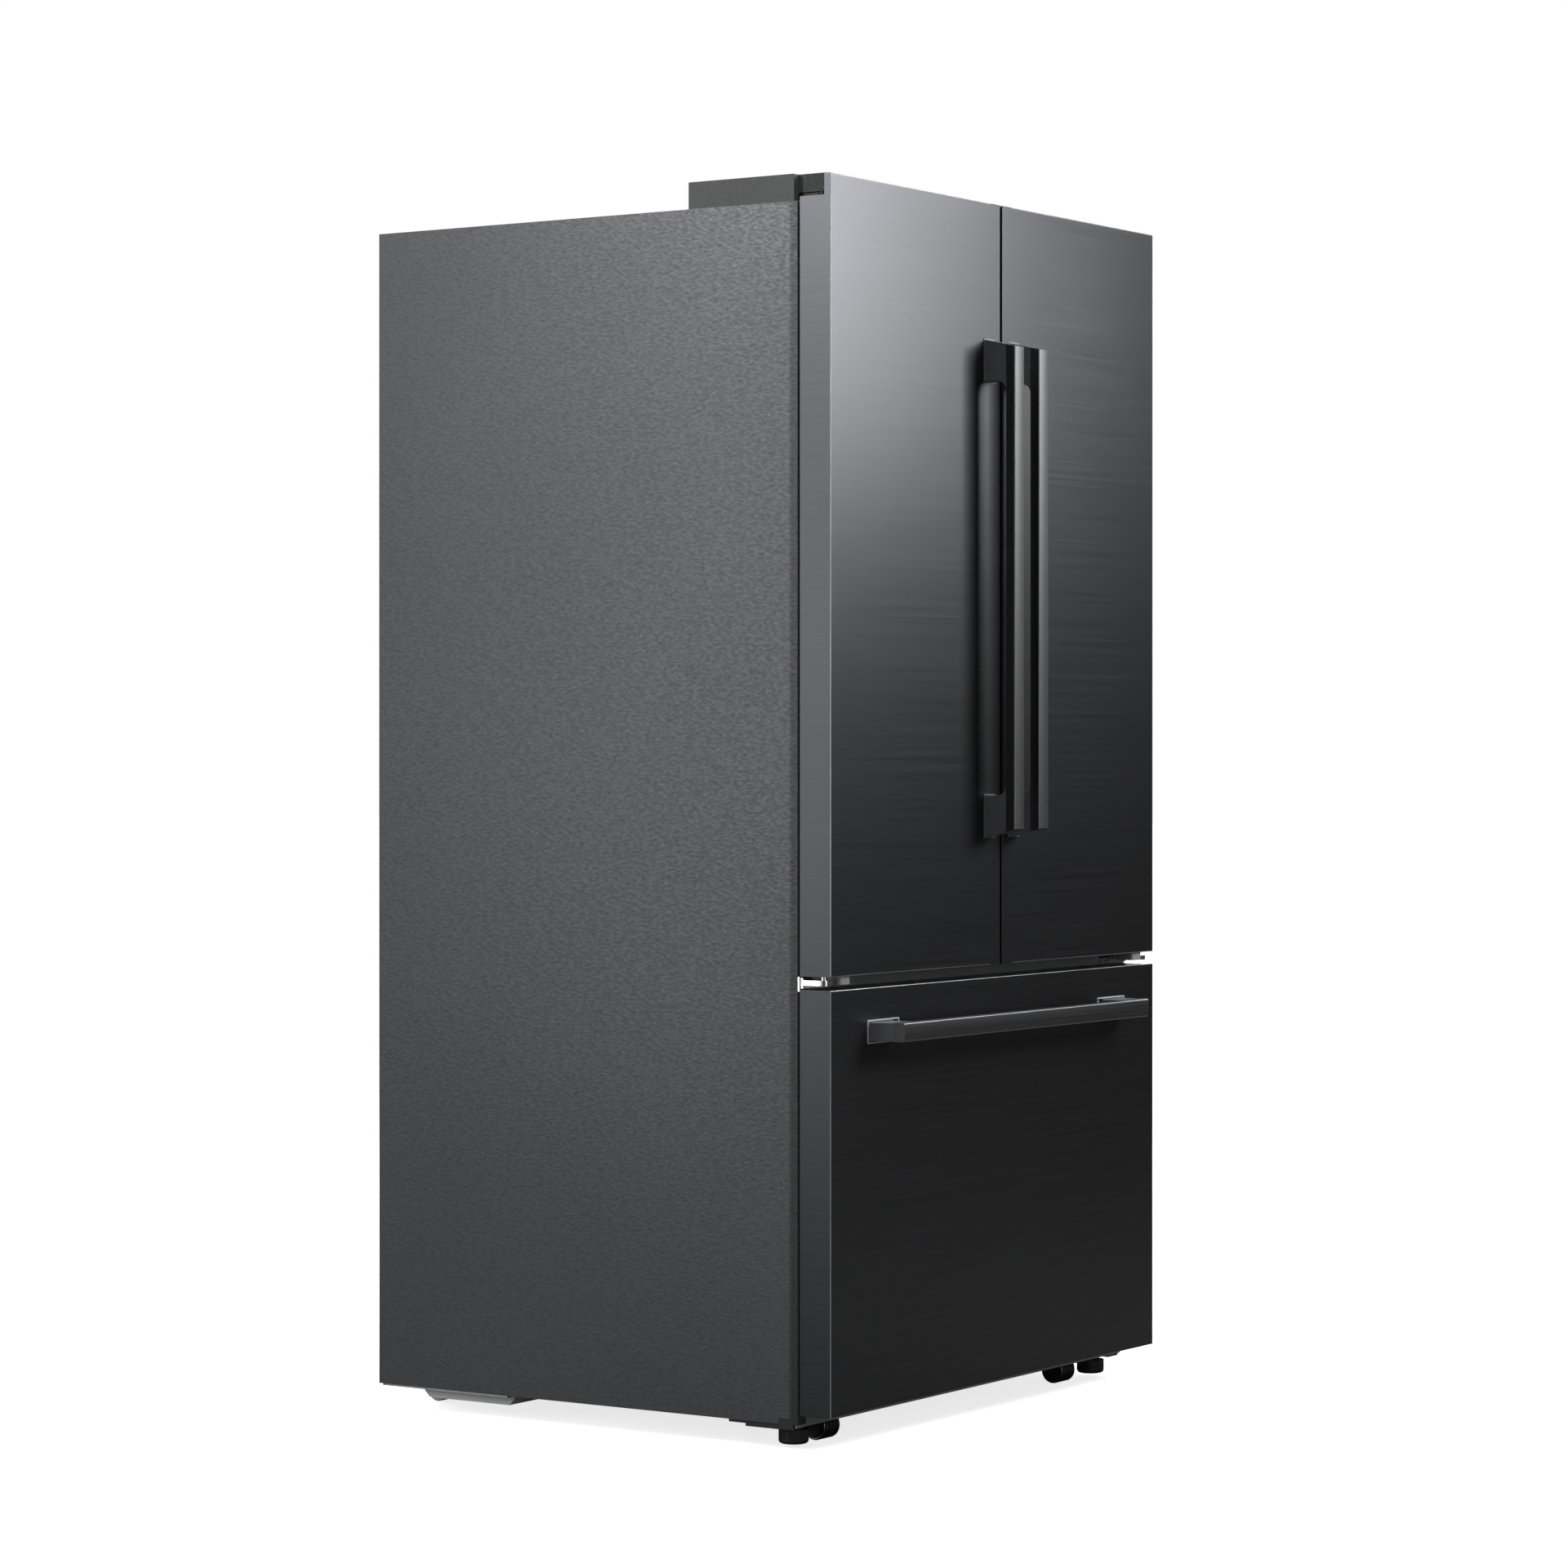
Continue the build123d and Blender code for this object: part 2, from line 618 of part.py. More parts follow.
def compressor():
    """Sealed compressor pot on its foot plate."""
    x, y = compressor_x, compressor_y
    pot = rod(x, y, 55, 75, 150)
    rims = pot.edges().filter_by(GeomType.CIRCLE).sort_by(Axis.Z)
    pot = fillet(rims[-1], 38)
    pot = fillet(pot.edges().filter_by(GeomType.CIRCLE).sort_by(Axis.Z)[0], 12)
    feet = block((x - 98, x + 98), (y - 62, y + 62), (52, 55.5))
    feet = fillet(feet.edges().filter_by(Axis.Z), 14)
    for dx in (-82, 82):
        for dy in (-46, 46):
            feet += rod(x + dx, y + dy, base_top, 11, 52 - base_top)
    box = block((x + 60, x + 92), (y - 28, y + 28), (90, 150))
    stub = rod(x - 40, y, 190, 4, 60) + rod(x - 20, y + 30, 190, 3, 45)
    return pot + feet + box + stub


def condenser_coil():
    """One tube bent into a serpentine, held by two end brackets."""
    low = base_top + 25.2
    left, right = 70.0, half - 70
    points = []
    for row in range(coil_runs):
        ends = (left, right) if row % 2 == 0 else (right, left)
        z = low + row * coil_pitch
        points += [(ends[0], coil_y, z), (ends[1], coil_y, z)]
    path = FilletPolyline(*points, radius=coil_pitch * 0.49)
    start = Plane(origin=path @ 0, z_dir=path % 0)
    tube = sweep(start * Circle(3.0), path=path)
    for x in (left + 30, right - 30):
        bracket_y = (coil_y - 9, coil_y + 9)
        tube += block((x - 1, x + 1), bracket_y, (base_top, low + coil_runs * coil_pitch))
    return tube


def fan(radius):
    """Five-bladed fan on the Y axis, bored for its shaft."""
    hub = rod(0, -8, 0, 18, 16, "y")
    blades = Part()
    for turn in range(5):
        blade = Pos(0, 0, radius / 2 + 6) * Rot(0, 0, 28) * Box(radius * 0.62, 1.8, radius - 12)
        blades += Rot(0, 72 * turn, 0) * blade
    ring_cut = rod(0, -20, 0, radius, 40, "y")
    return ((blades & ring_cut) + hub) - rod(0, -9, 0, fan_bore_r, 18, "y")


def fan_mount(radius):
    """Cross bar behind a fan's hole, with the shaft that the fan turns on."""
    reach = radius + 10
    bar = block((-reach, reach), (18, 22), (-6, 6))
    for side in (-1, 1):
        bar += block((side * reach, side * (reach - 6)), (-4, 22), (-6, 6))
    return bar + rod(0, -6, 0, fan_pin_r, 24, "y")


condenser_fan_place = Pos(12, case_depth - 124, condenser_fan_z) * Rot(0, 0, -90)
evaporator_fan_place = Pos(0, cover_y + 8, evaporator_fan_z)


def condenser_shroud():
    """Upright plate round the condenser fan."""
    outer = block((-90, 90), (-12, -8), (base_top - condenser_fan_z, 94))
    hole = rod(0, -20, 0, condenser_fan_r + 6, 20, "y")
    legs = fan_mount(condenser_fan_r)
    for side in (-1, 1):
        reach = condenser_fan_r + 10
        legs += block((side * reach, side * (reach - 6)), (-8.5, -3), (-6, 6))
    return condenser_fan_place * (outer - hole + legs)


def machine_cover():
    """Rear cover of the machine space with rows of air slots and the cord gland."""
    inner = half - sheet - touch
    y = (case_depth - 3, case_depth)
    cover = block((-inner, inner), y, (base_top + touch, machine_top - sheet - touch))
    slot_y = (y[0] - 1, y[1] + 1)
    first, pitch = gland_z + 30, 20.0
    group = (slot_reach - 1.5 * slot_gap) / 2
    rows = Part()
    for row in range(int((machine_top - 40 - first) // pitch) + 1):
        z = first + pitch * row
        for column in (-2, -1, 0, 1):
            start = column * (group + slot_gap) + slot_gap / 2
            rows += block((start, start + group), slot_y, (z, z + 6))
    gland = rod(gland_x, y[0] - 6, gland_z, gland_r + 5, 6.5, "y")
    return cover - rows + gland - rod(gland_x, y[0] - 8, gland_z, gland_r, 14, "y")


# ---------------------------------------------------------------- freezer and fresh food fittings
def evaporator():
    """Fin block with its tubes and end plates."""
    front, back = evaporator_y
    rows = 4
    tube_pitch = (evaporator_z[1] - evaporator_z[0] - 42) / (rows - 1)
    tube = fin_reach + 10
    coil = Part()
    for y in (front + 15, back - 15):
        for row in range(rows):
            coil += rod(-tube, y, evaporator_z[0] + 20 + tube_pitch * row, 4, 2 * tube, "x")
    last = int(2 * fin_reach // fin_pitch)
    for fin in range(last + 1):
        x = -fin_reach + fin * fin_pitch
        plate_back = fresh_back - seat_gap if fin in (0, last) else back
        coil += block((x - 0.6, x + 0.6), (front, plate_back), evaporator_z)
    return coil


def evaporator_cover():
    """Cover in front of the evaporator, with the fan's hole and the return slots."""
    x = cavity_x - seat_gap
    z = (step_top + touch, freezer_ceiling - seat_gap)
    cover = block((-x, x), (cover_y, cover_y + 3), z)
    cover -= rod(0, cover_y - 5, evaporator_fan_z, evaporator_fan_r + 5, 20, "y")
    length, pitch = return_slots
    first = 72 - cavity_x
    for column in range(int(-2 * first // pitch) + 1):
        start = first + pitch * column
        cover -= block((start, start + length), (cover_y - 1, cover_y + 4), (z[0] + 12, z[0] + 22))
    reach = evaporator_fan_r + 10
    mount = evaporator_fan_place * fan_mount(evaporator_fan_r)
    leg_z = (evaporator_fan_z - 6, evaporator_fan_z + 6)
    for side in (-1, 1):
        leg_x = (side * reach, side * (reach - 6))
        mount += block(leg_x, (cover_y + 2, cover_y + 6), leg_z)
    return cover + mount


def air_tower():
    """Cold air duct up the back of the fresh food space, with outlets and shelf ledges."""
    z = (fresh_floor + 55, fresh_ceiling - 25)
    tower = block((-tower_half, tower_half), (tower_front, fresh_back - touch), z)
    tower = fillet(tower.edges().filter_by(Axis.Z).group_by(Axis.Y)[0], 10)
    for share in tower_outlets:
        level = z[0] + round(share * (z[1] - z[0]))
        for side in (-1, 1):
            x = (side * 30, side * 80)
            tower -= block(x, (tower_front - 1, tower_front + 12), (level, level + 12))
    for level in shelf_levels:
        top = level - shelf_thick
        tower += block((-20, 20), (shelf_back - 40, tower_front + 1), (top - ledge, top))
    return tower


def shelf(x, level, front):
    """A glass shelf and the moulded trim that it sits in."""
    y = (front, shelf_back)
    rim, bar = 6.0, 14.0
    whole = block(x, y, (level - shelf_thick, level))
    whole -= block((x[0] + bar, x[1] - bar), (y[0] + bar, y[1] - bar), (0, level + 1))
    pocket = block((x[0] + rim, x[1] - rim), (y[0] + rim, y[1] - rim), (level - glass, level + 1))
    edge = rim + seat_gap
    pane = block((x[0] + edge, x[1] - edge), (y[0] + edge, y[1] - edge), (level - glass, level))
    return pane, whole - pocket


def crisper():
    """Left crisper drawer with a grip along its front."""
    x = (-cavity_x + 2, -6)
    z = (fresh_floor + seat_gap, crisper_cover_z - shelf_thick - ledge - 2)
    drawer = tub(x, (crisper_front, crisper_back), z, tub_wall + 0.5)
    grip = block((x[0] + 40, x[1] - 40), (crisper_front - 12, crisper_front), (z[1] - 26, z[1] - 20))
    return drawer + grip


def drawer_frame():
    """Side arms with the moving rail members, and the rear cross bar."""
    inner = cavity_x - arm_inset
    bar_x = inner + 18
    frame = block((-bar_x, bar_x), (rail_y[1] - 8, rail_y[1]), arm_z)
    for side in (-1, 1):
        frame += block((side * inner, side * (inner + 18)), (12, rail_y[1] - 8), arm_z)
        member = (side * (inner + 18), side * (inner + 26))
        frame += block(member, (14, rail_y[1] - 8), (rail_z[0] + 8, rail_z[1] - 8))
    return frame


def rails(inset, depth, y):
    """A pair of straight rail members at a distance from the liner's walls."""
    pair = []
    for side in (-1, 1):
        x = (side * (cavity_x - inset), side * (cavity_x - inset - depth))
        z = (rail_z[0] + inset / 3, rail_z[1] - inset / 3)
        pair.append(block(x, y, z))
    return pair


def lower_bin():
    """Deep freezer bin whose rim rests on the drawer's arms."""
    x = cavity_x - arm_inset - 2
    y = (rail_y[0] + 2, rail_y[1] - 10)
    body = tub((-x, x), y, (freezer_floor + 6, arm_z[1] + 26), tub_wall)
    body = fillet(body.edges().group_by(Axis.Z)[0], 2)
    for side in (-1, 1):
        rim = block((side * x, side * (x + 18)), (y[0] + 10, y[1] - 10), (arm_z[1], arm_z[1] + 3))
        body += rim
    return body


def upper_basket():
    """Shallow upper basket with slotted sides; its rim slides on the liner's ledges."""
    x = cavity_x - 24
    y = (basket_front, basket_back)
    body = tub((-x, x), y, (basket_rim_z - 70, basket_rim_z + 50), tub_wall)
    columns = 14
    slot_z = (basket_rim_z - 50, basket_rim_z + 20)
    for column in range(columns):
        start = -x + 30 + column * (2 * x - 60) / columns
        body -= block((start, start + 26), (y[0] - 1, y[0] + 5), slot_z)
    for side in (-1, 1):
        body += block((side * x, side * (x + 20)), y, (basket_rim_z, basket_rim_z + 3))
    return body


# ---------------------------------------------------------------- assembly
def save_case():
    panel = side_panel()
    save("side_panel_left", panel)
    save("side_panel_right", mirrored(panel))
    save("top_panel", top_panel())
    save("back_panel", back_panel())
    save("bottom_panel", deck())
    save("cabinet_foam", cabinet_foam())
    fresh, freezer = liners()
    save("fresh_food_liner", fresh)
    save("freezer_liner", freezer)
    save("front_rails", *front_rails())


def save_hinges():
    middle = middle_hinge()
    save("middle_hinges", middle, mirrored(middle))
    top = top_hinge()
    save("top_hinges", top, mirrored(top))
    cover = hinge_cover()
    save("hinge_covers", cover, mirrored(cover))
    z = sum(middle_flange_z) / 2
    screws = [screw(-x, -middle_plate, z, "y", middle_plate) for x in middle_screws]
    screws += [screw(-x, y, case_top + plate, "-z", plate) for x, y in top_screws]
    save("hinge_screws", *screws, *(mirrored(one) for one in screws))


def save_running_gear():
    bracket = front_bracket()
    save("front_leg_brackets", bracket, mirrored(bracket))
    left_foot = foot()
    save("foot_left", left_foot)
    save("foot_right", mirrored(left_foot))
    for end, y in (("front", front_roller_y), ("rear", rear_roller_y)):
        save(f"roller_{end}_left", roller(-roller_x, y))
        save(f"roller_{end}_right", roller(roller_x, y))


def save_cooling():
    save("machine_base", machine_base())
    save("drain_pan", drain_pan())
    save("compressor", compressor())
    save("condenser_coil", condenser_coil())
    save("condenser_fan_shroud", condenser_shroud())
    save("condenser_fan", condenser_fan_place * fan(condenser_fan_r))
    save("machine_cover", machine_cover())
    save("evaporator", evaporator())
    save("evaporator_cover", evaporator_cover())
    save("evaporator_fan", evaporator_fan_place * fan(evaporator_fan_r))
    save("air_tower", air_tower())


def save_interior():
    lens = block((-lens_half, lens_half), lens_y, (fresh_ceiling - 6, fresh_ceiling - touch))
    save("light_lens", fillet(lens.edges().group_by(Axis.Z)[0], 3))
    panel_z = (fresh_ceiling - 13, fresh_ceiling - touch)
    panel = block((-panel_half, panel_half), panel_y, panel_z)
    save("control_panel", fillet(panel.edges().group_by(Axis.Z)[0], 4))
    outer = cavity_x - 2
    panes, trims = [], []
    for level in shelf_levels:
        for x in ((-outer, -2), (2, outer)):
            pane, trim = shelf(x, level, shelf_front)
            panes.append(pane)
            trims.append(trim)
    pane, trim = shelf((-outer, outer), crisper_cover_z, shelf_front)
    divider_z = (fresh_floor + seat_gap, crisper_cover_z - shelf_thick + 1)
    foot_z = (divider_z[1] - 1, crisper_cover_z - glass)
    trim += block((-4, 4), (shelf_front + 13, shelf_back - 13), foot_z)
    trim += block((-4, 4), (shelf_front + 30, shelf_back - 20), divider_z)
    save("shelf_glass", *panes, pane)
    save("shelf_trims", *trims, trim)
    drawer = crisper()
    save("crisper_left", drawer)
    save("crisper_right", mirrored(drawer))
    save("drawer_rails_fixed", *rails(0, 8, rail_y))
    save("drawer_rails_middle", *rails(8 + seat_gap, 15 - 2 * seat_gap, rail_y))


def save_doors():
    shell, inner, stop, seal, rack = left_door()
    bar, posts = handle(door_handle)
    place = Pos(-handle_x, door_front, handle_z)
    for side in ("left", "right"):
        turn = mirrored if side == "right" else (lambda shape: shape)
        body = inner + flap_lugs() if side == "left" else inner
        save(f"{side}_door_skin", turn(shell))
        save(f"{side}_door_liner", turn(body), turn(stop))
        save(f"{side}_door_gasket", turn(seal))
        save(f"{side}_door_bins", *(turn(tray) for tray in rack))
        save(f"{side}_handle_bar", turn(place * bar))
        save(f"{side}_handle_posts", *(turn(place * post) for post in posts))
    save("mullion_flap", mullion_flap())


def save_drawer():
    x = (-half, half)
    z = (drawer_bottom, drawer_top)
    save("drawer_front_skin", door_skin(x, z, lip=False))
    dyke_z = (freezer_floor + 8, freezer_ceiling - 8)
    save("drawer_front_liner", door_liner(x, z, (-dyke_out, dyke_out), dyke_z, 12.0))
    seal_x = (-half + gasket_inset, half - gasket_inset)
    save("drawer_gasket", gasket(seal_x, (drawer_bottom + 24, drawer_top - 9)))
    bar, posts = handle(drawer_handle)
    place = Pos(0, door_front, drawer_top - drawer_handle_drop) * Rot(0, 90, 0)
    save("drawer_handle_bar", place * bar)
    save("drawer_handle_posts", *(place * post for post in posts))
    save("drawer_frame", drawer_frame())
    save("freezer_lower_bin", lower_bin())
    save("freezer_upper_basket", upper_basket())


os.makedirs("parts", exist_ok=True)
save_case()
save_hinges()
save_running_gear()
save_cooling()
save_interior()
save_doors()
save_drawer()
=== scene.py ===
import math

import bmesh
import bpy
from mathutils import Matrix, Vector


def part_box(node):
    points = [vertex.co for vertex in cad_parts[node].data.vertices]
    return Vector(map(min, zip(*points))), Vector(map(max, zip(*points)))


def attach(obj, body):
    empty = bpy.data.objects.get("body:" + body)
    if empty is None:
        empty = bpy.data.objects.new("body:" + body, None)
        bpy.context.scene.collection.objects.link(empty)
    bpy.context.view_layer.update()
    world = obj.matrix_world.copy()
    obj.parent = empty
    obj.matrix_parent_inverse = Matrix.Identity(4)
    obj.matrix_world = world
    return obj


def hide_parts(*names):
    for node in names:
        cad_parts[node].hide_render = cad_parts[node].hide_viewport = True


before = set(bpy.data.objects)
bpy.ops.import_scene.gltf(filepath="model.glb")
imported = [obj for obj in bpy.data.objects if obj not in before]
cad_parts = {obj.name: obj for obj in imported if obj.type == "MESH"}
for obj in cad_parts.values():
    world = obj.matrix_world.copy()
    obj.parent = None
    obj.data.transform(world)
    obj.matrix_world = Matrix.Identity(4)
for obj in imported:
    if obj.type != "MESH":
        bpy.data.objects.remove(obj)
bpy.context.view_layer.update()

# ---------------------------------------------------------------- camera and light
VIEW_ANGLE = math.radians(56.393)    # turned from +Y towards +X
CAMERA_HEIGHT = 0.9776
CAMERA_DISTANCE = 6.6434             # from the upright through the origin, along the view
CAMERA_SIDE = -0.0088                # to the right of that upright
LENS = 101.96
SENSOR_WIDTH = 36
SHIFT_Y = -0.02785
WORLD_LIGHT = 0.085                  # strength for every ray but the camera's own
FLOOR_REACH = 40.0
FLOOR_FADE = (1.5, 6.0)              # distances from the origin between which the glow rises
FLOOR_GLOW = (0.78, 1.1)             # glow at those distances
FLOOR_BOUNCE = 0.12                  # grey of the floor for every ray but the camera's own


def add_object(name, data):
    """New object in the scene."""
    made = bpy.data.objects.new(name, data)
    bpy.context.scene.collection.objects.link(made)
    return made


def make_camera():
    """Level camera in front of the left front corner."""
    ahead = Vector((math.sin(VIEW_ANGLE), math.cos(VIEW_ANGLE), 0))
    right = Vector((math.cos(VIEW_ANGLE), -math.sin(VIEW_ANGLE), 0))
    data = bpy.data.cameras.new("camera")
    data.lens = LENS
    data.sensor_width = SENSOR_WIDTH
    data.shift_y = SHIFT_Y
    camera = add_object("camera", data)
    camera.location = CAMERA_SIDE * right - CAMERA_DISTANCE * ahead + Vector((0, 0, CAMERA_HEIGHT))
    camera.rotation_euler = (math.pi / 2, 0, -VIEW_ANGLE)
    bpy.context.scene.camera = camera


def area_light(name, place, target, size, power):
    """Soft rectangular light that faces a target."""
    data = bpy.data.lights.new(name, "AREA")
    data.shape = "RECTANGLE"
    data.size, data.size_y = size
    data.energy = power
    light = add_object(name, data)
    light.location = place
    light.rotation_euler = (Vector(target) - Vector(place)).to_track_quat("-Z", "Y").to_euler()


def make_world():
    """White surroundings, with a dimmer share of their light on the object."""
    world = bpy.data.worlds.new("studio")
    bpy.context.scene.world = world
    world.use_nodes = True
    tree = world.node_tree
    sky = tree.nodes["Background"]
    sky.inputs["Color"].default_value = (1, 1, 1, 1)
    path = tree.nodes.new("ShaderNodeLightPath")
    level = tree.nodes.new("ShaderNodeMapRange")
    level.inputs["To Min"].default_value = WORLD_LIGHT
    level.inputs["To Max"].default_value = 1.0
    tree.links.new(path.outputs["Is Camera Ray"], level.inputs["Value"])
    tree.links.new(level.outputs["Result"], sky.inputs["Strength"])
    bpy.context.scene.view_settings.view_transform = "Standard"


def floor_material():
    """Pale glow that rises to white with distance; all rays but the camera's meet a dim grey."""
    paint = bpy.data.materials.new("floor_pale")
    paint.use_nodes = True
    tree = paint.node_tree
    shader = tree.nodes["Principled BSDF"]
    shader.inputs["Base Color"].default_value = (0.9, 0.9, 0.9, 1)
    shader.inputs["Roughness"].default_value = 1.0
    shader.inputs["Specular IOR Level"].default_value = 0.0
    shader.inputs["Emission Color"].default_value = (1, 1, 1, 1)
    place = tree.nodes.new("ShaderNodeTexCoord")
    away = tree.nodes.new("ShaderNodeVectorMath")
    away.operation = "LENGTH"
    fade = tree.nodes.new("ShaderNodeMapRange")
    fade.inputs["From Min"].default_value, fade.inputs["From Max"].default_value = FLOOR_FADE
    fade.inputs["To Min"].default_value, fade.inputs["To Max"].default_value = FLOOR_GLOW
    tree.links.new(place.outputs["Object"], away.inputs[0])
    tree.links.new(away.outputs["Value"], fade.inputs["Value"])
    tree.links.new(fade.outputs["Result"], shader.inputs["Emission Strength"])
    path = tree.nodes.new("ShaderNodeLightPath")
    dim = tree.nodes.new("ShaderNodeBsdfDiffuse")
    dim.inputs["Color"].default_value = (FLOOR_BOUNCE, FLOOR_BOUNCE, FLOOR_BOUNCE, 1)
    mix = tree.nodes.new("ShaderNodeMixShader")
    tree.links.new(path.outputs["Is Camera Ray"], mix.inputs["Fac"])
    tree.links.new(dim.outputs["BSDF"], mix.inputs[1])
    tree.links.new(shader.outputs["BSDF"], mix.inputs[2])
    tree.links.new(mix.outputs["Shader"], tree.nodes["Material Output"].inputs["Surface"])
    return paint


def make_floor():
    """Plain pale floor."""
    mesh = bpy.data.meshes.new("floor")
    reach = FLOOR_REACH
    corners = [(-reach, -reach, 0), (reach, -reach, 0), (reach, reach, 0), (-reach, reach, 0)]
    mesh.from_pydata(corners, [], [(0, 1, 2, 3)])
    mesh.materials.append(floor_material())
    floor = add_object("floor", mesh)


def make_lights():
    """Soft boxes: highlights of the doors, their flank and the side, then fills and the top."""
    area_light("front_high", (1.12, -2.015, 2.25), (-0.5, -0.37, 1.5), (1.1, 1.5), 88)
    area_light("edge_front", (-2.6, -4.4, 1.6), (0, 0, 1.0), (0.8, 2.6), 30)
    area_light("side_back", (-2.95, 1.45, 1.1), (-0.45, 0.05, 0.95), (0.9, 1.4), 15)
    area_light("flank_high", (-2.9, 1.2, 2.5), (-0.45, -0.34, 1.7), (0.6, 0.5), 40)
    area_light("side_soft", (-3.6, 0.6, 1.3), (-0.45, 0.0, 0.9), (2.2, 2.4), 14)
    area_light("rear_fill", (1.2, 4.6, 2.2), (0, 0.42, 0.9), (3.0, 2.6), 130)
    area_light("right_fill", (4.2, 0.9, 1.9), (0.45, 0, 0.9), (2.4, 2.4), 75)
    area_light("top", (0, 0, 5.0), (0, 0, 0), (6, 6), 260)


# ---------------------------------------------------------------- material helpers
MIX_A, MIX_B, MIX_RESULT = 6, 7, 2   # colour sockets of a mix node


class Look:
    """A node material that is put together one feature at a time."""

    def __init__(self, name, color, metallic=0.0, roughness=0.5):
        self.material = bpy.data.materials.new(name)
        self.material.use_nodes = True
        self.tree = self.material.node_tree
        self.shader = self.tree.nodes["Principled BSDF"]
        self.shader.inputs["Base Color"].default_value = (*color, 1)
        self.shader.inputs["Metallic"].default_value = metallic
        self.shader.inputs["Roughness"].default_value = roughness
        self.color = color
        self.place = self.node("ShaderNodeTexCoord").outputs["Object"]
        self.normal = None

    def node(self, kind, **settings):
        """New node with its settings."""
        made = self.tree.nodes.new(kind)
        for key, value in settings.items():
            setattr(made, key, value)
        return made

    def link(self, source, target):
        """Wire an output to an input."""
        self.tree.links.new(source, target)

    def set(self, socket, value):
        """Constant on a socket of the shader."""
        self.shader.inputs[socket].default_value = value
        return self

    def stretched(self, stretch, turn=(0, 0, 0)):
        """Place in metres, turned and stretched along each axis."""
        mapping = self.node("ShaderNodeMapping")
        mapping.inputs["Scale"].default_value = stretch
        mapping.inputs["Rotation"].default_value = turn
        self.link(self.place, mapping.inputs["Vector"])
        return mapping.outputs["Vector"]

    def noise(self, scale, stretch=(1, 1, 1), turn=(0, 0, 0), detail=2.0, rough=0.5):
        """Noise in metres; stretch multiplies the frequency along each axis."""
        noise = self.node("ShaderNodeTexNoise")
        noise.inputs["Scale"].default_value = scale
        noise.inputs["Detail"].default_value = detail
        noise.inputs["Roughness"].default_value = rough
        self.link(self.stretched(stretch, turn), noise.inputs["Vector"])
        return noise.outputs["Fac"]

    def cells(self, scale, stretch=(1, 1, 1)):
        """Rounded cells, as in hammered or orange-peel finishes."""
        cell = self.node("ShaderNodeTexVoronoi", feature="SMOOTH_F1")
        cell.inputs["Scale"].default_value = scale
        self.link(self.stretched(stretch), cell.inputs["Vector"])
        return cell.outputs["Distance"]

    def along(self, axis):
        """Place along one axis in metres."""
        parts = self.node("ShaderNodeSeparateXYZ")
        self.link(self.place, parts.inputs[0])
        return parts.outputs[axis]

    def calculate(self, operation, first, second=None):
        """One step of arithmetic on one or two sockets; the second may be a number."""
        made = self.node("ShaderNodeMath", operation=operation)
        self.link(first, made.inputs[0])
        if isinstance(second, (int, float)):
            made.inputs[1].default_value = second
        elif second:
            self.link(second, made.inputs[1])
        return made.outputs[0]

    def span(self, source, low, high, start=0.3, end=0.7):
        """Source between start and end, mapped to low and high."""
        ranged = self.node("ShaderNodeMapRange")
        ranged.inputs["From Min"].default_value = start
        ranged.inputs["From Max"].default_value = end
        ranged.inputs["To Min"].default_value = low
        ranged.inputs["To Max"].default_value = high
        self.link(source, ranged.inputs["Value"])
        return ranged.outputs["Result"]

    def tint(self, source, low, high, start=0.3, end=0.7):
        """Base colour between two shades of itself, chained on what it already has."""
        mix = self.node("ShaderNodeMix", data_type="RGBA", blend_type="MULTIPLY")
        mix.inputs["Factor"].default_value = 1.0
        base = self.shader.inputs["Base Color"]
        if base.is_linked:
            self.link(base.links[0].from_socket, mix.inputs[MIX_A])
        else:
            mix.inputs[MIX_A].default_value = (*self.color, 1)
        shade = self.node("ShaderNodeCombineColor")
        factor = self.span(source, low, high, start, end)
        for channel in ("Red", "Green", "Blue"):
            self.link(factor, shade.inputs[channel])
        self.link(shade.outputs["Color"], mix.inputs[MIX_B])
        self.link(mix.outputs[MIX_RESULT], base)
        return self

    def cover(self, factor, shade):
        """Another colour over a base colour that is tinted already."""
        mix = self.node("ShaderNodeMix", data_type="RGBA")
        base = self.shader.inputs["Base Color"]
        self.link(factor, mix.inputs["Factor"])
        self.link(base.links[0].from_socket, mix.inputs[MIX_A])
        mix.inputs[MIX_B].default_value = (*shade, 1)
        self.link(mix.outputs[MIX_RESULT], base)
        return self

    def gloss(self, source, low, high, start=0.3, end=0.7):
        """Roughness between two values."""
        self.link(self.span(source, low, high, start, end), self.shader.inputs["Roughness"])
        return self

    def paint_edge_highlight(self, shade, seam):
        """Painted highlight: a bright grey on rounded edges that lie further than the seam from the
        middle.
        """
        flat, turned = 0.995, 0.9        # largest share of the normal along one axis
        aside = self.calculate("ABSOLUTE", self.along("X"))
        outside = self.calculate("GREATER_THAN", aside, seam)
        parts = self.node("ShaderNodeSeparateXYZ")
        self.link(self.node("ShaderNodeNewGeometry").outputs["True Normal"], parts.inputs[0])
        sizes = [self.calculate("ABSOLUTE", parts.outputs[axis]) for axis in ("X", "Y", "Z")]
        widest = self.calculate("MAXIMUM", self.calculate("MAXIMUM", sizes[0], sizes[1]), sizes[2])
        rounded = self.span(widest, 1.0, 0.0, turned, flat)
        return self.cover(self.calculate("MULTIPLY", rounded, outside), (shade, shade, shade))

    def stain_below(self, height, shade):
        """Another colour under a height, for a block moulded in its own plastic."""
        return self.cover(self.calculate("LESS_THAN", self.along("Z"), height), shade)

